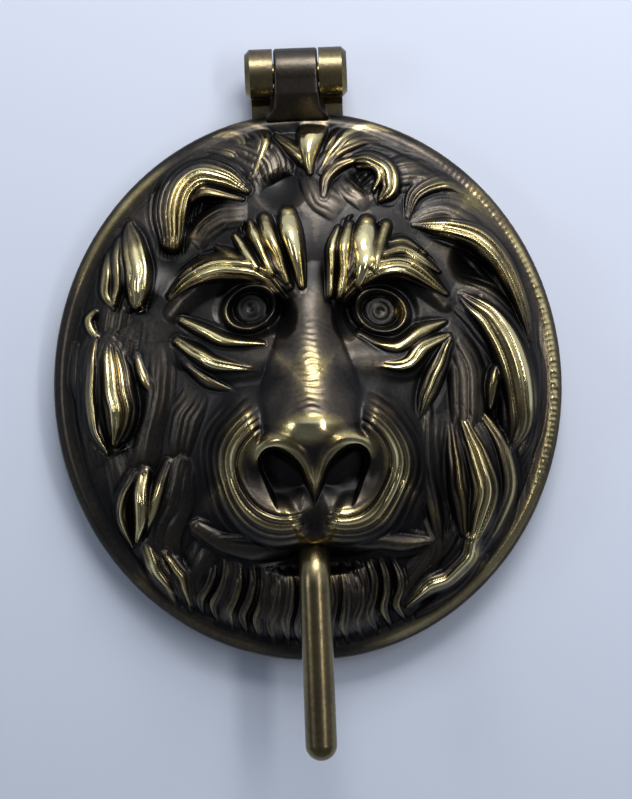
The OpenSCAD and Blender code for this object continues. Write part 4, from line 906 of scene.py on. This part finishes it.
# %% The ageing of brass
PATINA = (0.03, 0.029, 0.029)
UMBER = (0.10, 0.084, 0.066)
OLD_BRASS = (0.33, 0.265, 0.12)
BRIGHT_BRASS = (0.84, 0.73, 0.39)
ROUGHNESS = [(0.0, 0.40), (0.35, 0.32), (0.7, 0.22), (1.0, 0.16)]
BUMP_SIZE = 0.0002


class Value:
    """A number in a shader tree. The signs + - * / between Values and plain numbers make Math nodes,
    and held() keeps a Value between 0 and 1."""

    def __init__(self, tree, socket):
        self.tree, self.socket = tree, socket

    def math(self, operation, first, second, clamp=False):
        made = node(self.tree, "ShaderNodeMath", operation=operation, use_clamp=clamp)
        for socket, value in zip(made.inputs, (first, second)):
            feed(self.tree, socket, value)
        return Value(self.tree, made.outputs[0])

    def __add__(self, other):
        return self.math("ADD", self, other)

    def __sub__(self, other):
        return self.math("SUBTRACT", self, other)

    def __mul__(self, other):
        return self.math("MULTIPLY", self, other)

    def __truediv__(self, other):
        return self.math("DIVIDE", self, other)

    def held(self):
        return self.math("ADD", self, 0.0, clamp=True)


def feed(tree, socket, value):
    """Links a Value or an output socket to an input, or sets the input to a plain value."""
    value = value.socket if isinstance(value, Value) else value
    if isinstance(value, bpy.types.NodeSocket):
        tree.links.new(value, socket)
    else:
        socket.default_value = value


def node(tree, kind, **settings):
    """Adds a node. A setting with an input's name, _ standing for a blank, feeds that input; any
    other setting is a property of the node."""
    made = tree.nodes.new(kind)
    for name, value in settings.items():
        title = name.replace("_", " ")
        if title in made.inputs:
            feed(tree, made.inputs[title], value)
        else:
            setattr(made, name, value)
    return made


def ramp(tree, value, stops):
    """A colour ramp with stops of (place, colour), fed by a value; returns its colour."""
    made = node(tree, "ShaderNodeValToRGB", Fac=value)
    elements = made.color_ramp.elements
    while len(elements) > 1:
        elements.remove(elements[-1])
    for k, (at, color) in enumerate(stops):
        stop = elements[0] if k == 0 else elements.new(at)
        stop.position = at
        stop.color = (*color, 1)
    return made.outputs["Color"]


def place_of(tree, system):
    """X, Y and Z in one of the systems of coordinates, as Values."""
    coords = node(tree, "ShaderNodeTexCoord").outputs[system]
    return [Value(tree, socket) for socket in node(tree, "ShaderNodeSeparateXYZ", Vector=coords).outputs]


def empty_tree(owner):
    """The node tree of a material or world, cleared."""
    owner.use_nodes = True
    owner.node_tree.nodes.clear()
    return owner.node_tree


def set_out(tree):
    """Puts each node in a column to the left of those that it feeds."""
    column = dict.fromkeys(tree.nodes, 0)
    for _ in tree.nodes:
        for link in tree.links:
            column[link.from_node] = max(column[link.from_node], column[link.to_node] + 1)
    for row, (made, k) in enumerate(column.items()):
        made.location = (-220 * k, -60 * row)


def ageing_group():
    """Worn (0 dark patina .. 1 polished) to Color, Roughness and Height; Spots sets how uneven."""
    group = bpy.data.node_groups.new("brass_ageing", "ShaderNodeTree")
    for name, value in (("Worn", 0.5), ("Spots", 0.3)):
        socket = group.interface.new_socket(name, in_out="INPUT", socket_type="NodeSocketFloat")
        socket.default_value = value
    for name, kind in (("Color", "Color"), ("Roughness", "Float"), ("Height", "Float")):
        group.interface.new_socket(name, in_out="OUTPUT", socket_type="NodeSocket" + kind)
    given = node(group, "NodeGroupInput").outputs
    coords = node(group, "ShaderNodeTexCoord").outputs["Object"]
    cloud, fleck = (
        Value(group, node(group, "ShaderNodeTexNoise", Vector=coords, Scale=scale, Detail=detail,
                          Roughness=rough).outputs["Fac"])
        for scale, detail, rough in [(95.0, 5.0, 0.6), (900.0, 3.0, 0.65)]
    )
    both = cloud + fleck
    worn = ((both - 1.0) * given["Spots"] + given["Worn"]).held()
    tint = ramp(group, worn, [(0.0, PATINA), (0.3, UMBER), (0.6, OLD_BRASS), (0.95, BRIGHT_BRASS)])
    gloss = ramp(group, worn, [(at, (rough,) * 3) for at, rough in ROUGHNESS])
    node(group, "NodeGroupOutput", Color=tint, Roughness=gloss, Height=both)
    set_out(group)
    return group


BRASS_AGEING = ageing_group()
print("brass_ageing has", len(BRASS_AGEING.nodes), "nodes")


def brass_material(name, worn, spots, bump=0.12):
    """A brass whose wear is a number or a function that builds it from nodes."""
    material = bpy.data.materials.new(name)
    tree = empty_tree(material)
    age = node(tree, "ShaderNodeGroup", node_tree=BRASS_AGEING, Spots=spots,
               Worn=worn(tree) if callable(worn) else worn).outputs
    relief = node(tree, "ShaderNodeBump", Strength=bump, Distance=BUMP_SIZE, Height=age["Height"])
    metal = node(tree, "ShaderNodeBsdfPrincipled", Metallic=1.0, Base_Color=age["Color"],
                 Roughness=age["Roughness"], Normal=relief.outputs["Normal"])
    node(tree, "ShaderNodeOutputMaterial", Surface=metal.outputs["BSDF"])
    set_out(tree)
    return material


# %% [markdown]
# On the lion, the wear follows what was worked out with the relief: bright where a lock or spot was
# polished and given a painted highlight and where the surface stands above its surroundings, dark where
# painted shade was laid in and where it lies below them.

# %% The lion's brass
def lion_wear_and_painted_light(tree):
    """The stored polished shine with its painted highlights and painted shade, more where the surface
    stands out and less in a hollow, both in millimetres.
    """
    polish_and_painted_light, high, low = (
        Value(tree, node(tree, "ShaderNodeAttribute", attribute_name=name).outputs["Fac"])
        for name in ("polish_and_painted_light", "raised", "hollowed")
    )
    return polish_and_painted_light + high * 0.14 - low * 0.12 + 0.1


# painted highlight on the knuckles' round tops starts at this height
EAR_HIGHLIGHT_Z = 73.5


def plate_wear_and_highlight(tree):
    """The plate is dark. Its outer edge is rubbed brighter and carries a painted highlight, where (x/a)^2
    + (z/b)^2 nears 1 on its oval, but not above the oval; and the knuckles' round tops carry a painted
    highlight, from the height set just above this function up."""
    x, _, z = place_of(tree, "Object")
    across, upward = x / (plate_high[0] * MM), z / (-plate_low[2] * MM)
    # the outer edge: rubbed brass with a painted highlight on it
    edge = ((across * across + upward * upward - 0.965) * 9.0).held()
    over_oval = ((upward - 1.06) * 12.0).held()
    # painted highlight on the knuckles' round tops
    ear_highlight = ((z - EAR_HIGHLIGHT_Z * MM) * 300.0).held()
    return (edge - edge * over_oval) * 0.28 + ear_highlight * 0.14 + 0.24


patina_brass = brass_material("patina_brass", lion_wear_and_painted_light, spots=0.3, bump=0.2)
knuckle_brass = brass_material("knuckle_brass", 0.2, spots=0.25, bump=0.3)
plate_brass = brass_material("plate_brass", plate_wear_and_highlight, spots=0.3, bump=0.2)
polished_brass = brass_material("polished_brass", 0.44, spots=0.3)
fastener_brass = brass_material("fastener_brass", 0.55, spots=0.4)


def dress(piece, material):
    """Gives a piece its one material."""
    piece.data.materials.clear()
    piece.data.materials.append(material)


for piece in lion_parts:
    dress(piece, patina_brass)
dress(mask_knuckle, knuckle_brass)
for name, material in [
    ("backplate", plate_brass), ("hinge_pin", fastener_brass), ("tongue_pull", polished_brass),
    ("tongue_washer", fastener_brass), ("tongue_nut", fastener_brass),
    ("hammer_stud", fastener_brass), ("strike_button", fastener_brass),
]:
    dress(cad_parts[name], material)
    print(name, "has", material.name)

# %% [markdown]
# The knocker lies face up on a pale sheet. The sheet is a plane 1 mm behind the plate, and a large
# soft window above lights both, with two weaker ones at the sides. The world is a plain grey that is
# brighter above, so that the polished metal has something to mirror.

# %% Sheet, lamps and world
SHEET_HALF, SHEET_BEHIND = 900.0, 1.0
sheet = new_object("sheet", [
    (-SHEET_HALF, SHEET_BEHIND, -SHEET_HALF), (SHEET_HALF, SHEET_BEHIND, -SHEET_HALF),
    (SHEET_HALF, SHEET_BEHIND, SHEET_HALF), (-SHEET_HALF, SHEET_BEHIND, SHEET_HALF),
], [(0, 1, 2, 3)])


def mix_shaders(tree, share_of_second, first, second):
    """Mixes the shaders of two nodes."""
    mixed = node(tree, "ShaderNodeMixShader")
    for socket, value in zip(mixed.inputs, (share_of_second, first.outputs[0], second.outputs[0])):
        feed(tree, socket, value)
    return mixed


def sheet_material():
    """Pale blue-white, with painted shade that darkens it a little towards the lower left. Brass mirrors
    it in its plain colour, and from behind it is clear, so that the knocker's back can be looked at."""
    material = bpy.data.materials.new("pale_sheet")
    tree = empty_tree(material)
    x, _, z = place_of(tree, "Object")
    # painted shade: the colour falls off towards the lower left
    painted_falloff = (x * 1.2 + z * 2.6 + 0.5).held()
    tint = ramp(tree, painted_falloff, [(0.0, (0.44, 0.50, 0.60)), (1.0, (0.66, 0.71, 0.85))])
    cloth = node(tree, "ShaderNodeBsdfPrincipled", Roughness=0.9, Base_Color=tint)
    mirrored = node(tree, "ShaderNodeEmission", Strength=0.8, Color=tint)
    clear = node(tree, "ShaderNodeBsdfTransparent")
    glossy = node(tree, "ShaderNodeLightPath").outputs["Is Glossy Ray"]
    behind = node(tree, "ShaderNodeNewGeometry").outputs["Backfacing"]
    either = mix_shaders(tree, behind, mix_shaders(tree, glossy, cloth, mirrored), clear)
    node(tree, "ShaderNodeOutputMaterial", Surface=either.outputs[0])
    set_out(tree)
    return material


sheet.data.materials.append(sheet_material())


def window(name, place, size, power, color):
    """A soft rectangular lamp at a place in millimetres, turned to face the lion."""
    data = bpy.data.lights.new(name, "AREA")
    data.shape = "RECTANGLE"
    data.size, data.size_y = (part * MM for part in size)
    data.energy = power
    data.color = color
    lamp = bpy.data.objects.new(name, data)
    back = np.array(place, float) / np.linalg.norm(place)
    side = np.cross((0, 0, 1), back)
    side = side / np.linalg.norm(side)
    top = np.cross(back, side)
    spot = np.array(place) * MM
    lamp.matrix_world = Matrix([(side[k], top[k], back[k], spot[k]) for k in range(3)] + [(0, 0, 0, 1)])
    bpy.context.scene.collection.objects.link(lamp)


window("window_above", (140, -520, 620), (520, 300), 6.0, (1.0, 0.98, 0.94))
window("window_right", (330, -560, 60), (70, 420), 0.9, (1.0, 0.97, 0.92))
window("window_left", (-560, -420, 60), (120, 300), 0.6, (0.92, 0.96, 1.0))


def build_world():
    """Grey, darkest just below the horizon and bright overhead, a little more to the right."""
    world = bpy.data.worlds.new("room")
    bpy.context.scene.world = world
    tree = empty_tree(world)
    x, _, z = place_of(tree, "Generated")
    tint = ramp(tree, (z * 0.5 + x * 0.14 + 0.5).held(), [
        (0.0, (0.12, 0.13, 0.16)), (0.45, (0.06, 0.065, 0.08)), (0.56, (0.10, 0.11, 0.13)),
        (0.66, (0.42, 0.45, 0.52)), (1.0, (0.95, 1.0, 1.1)),
    ])
    light = node(tree, "ShaderNodeBackground", Strength=1.0, Color=tint)
    node(tree, "ShaderNodeOutputWorld", Surface=light.outputs["Background"])
    set_out(tree)


build_world()
bpy.context.scene.view_settings.view_transform = "Standard"
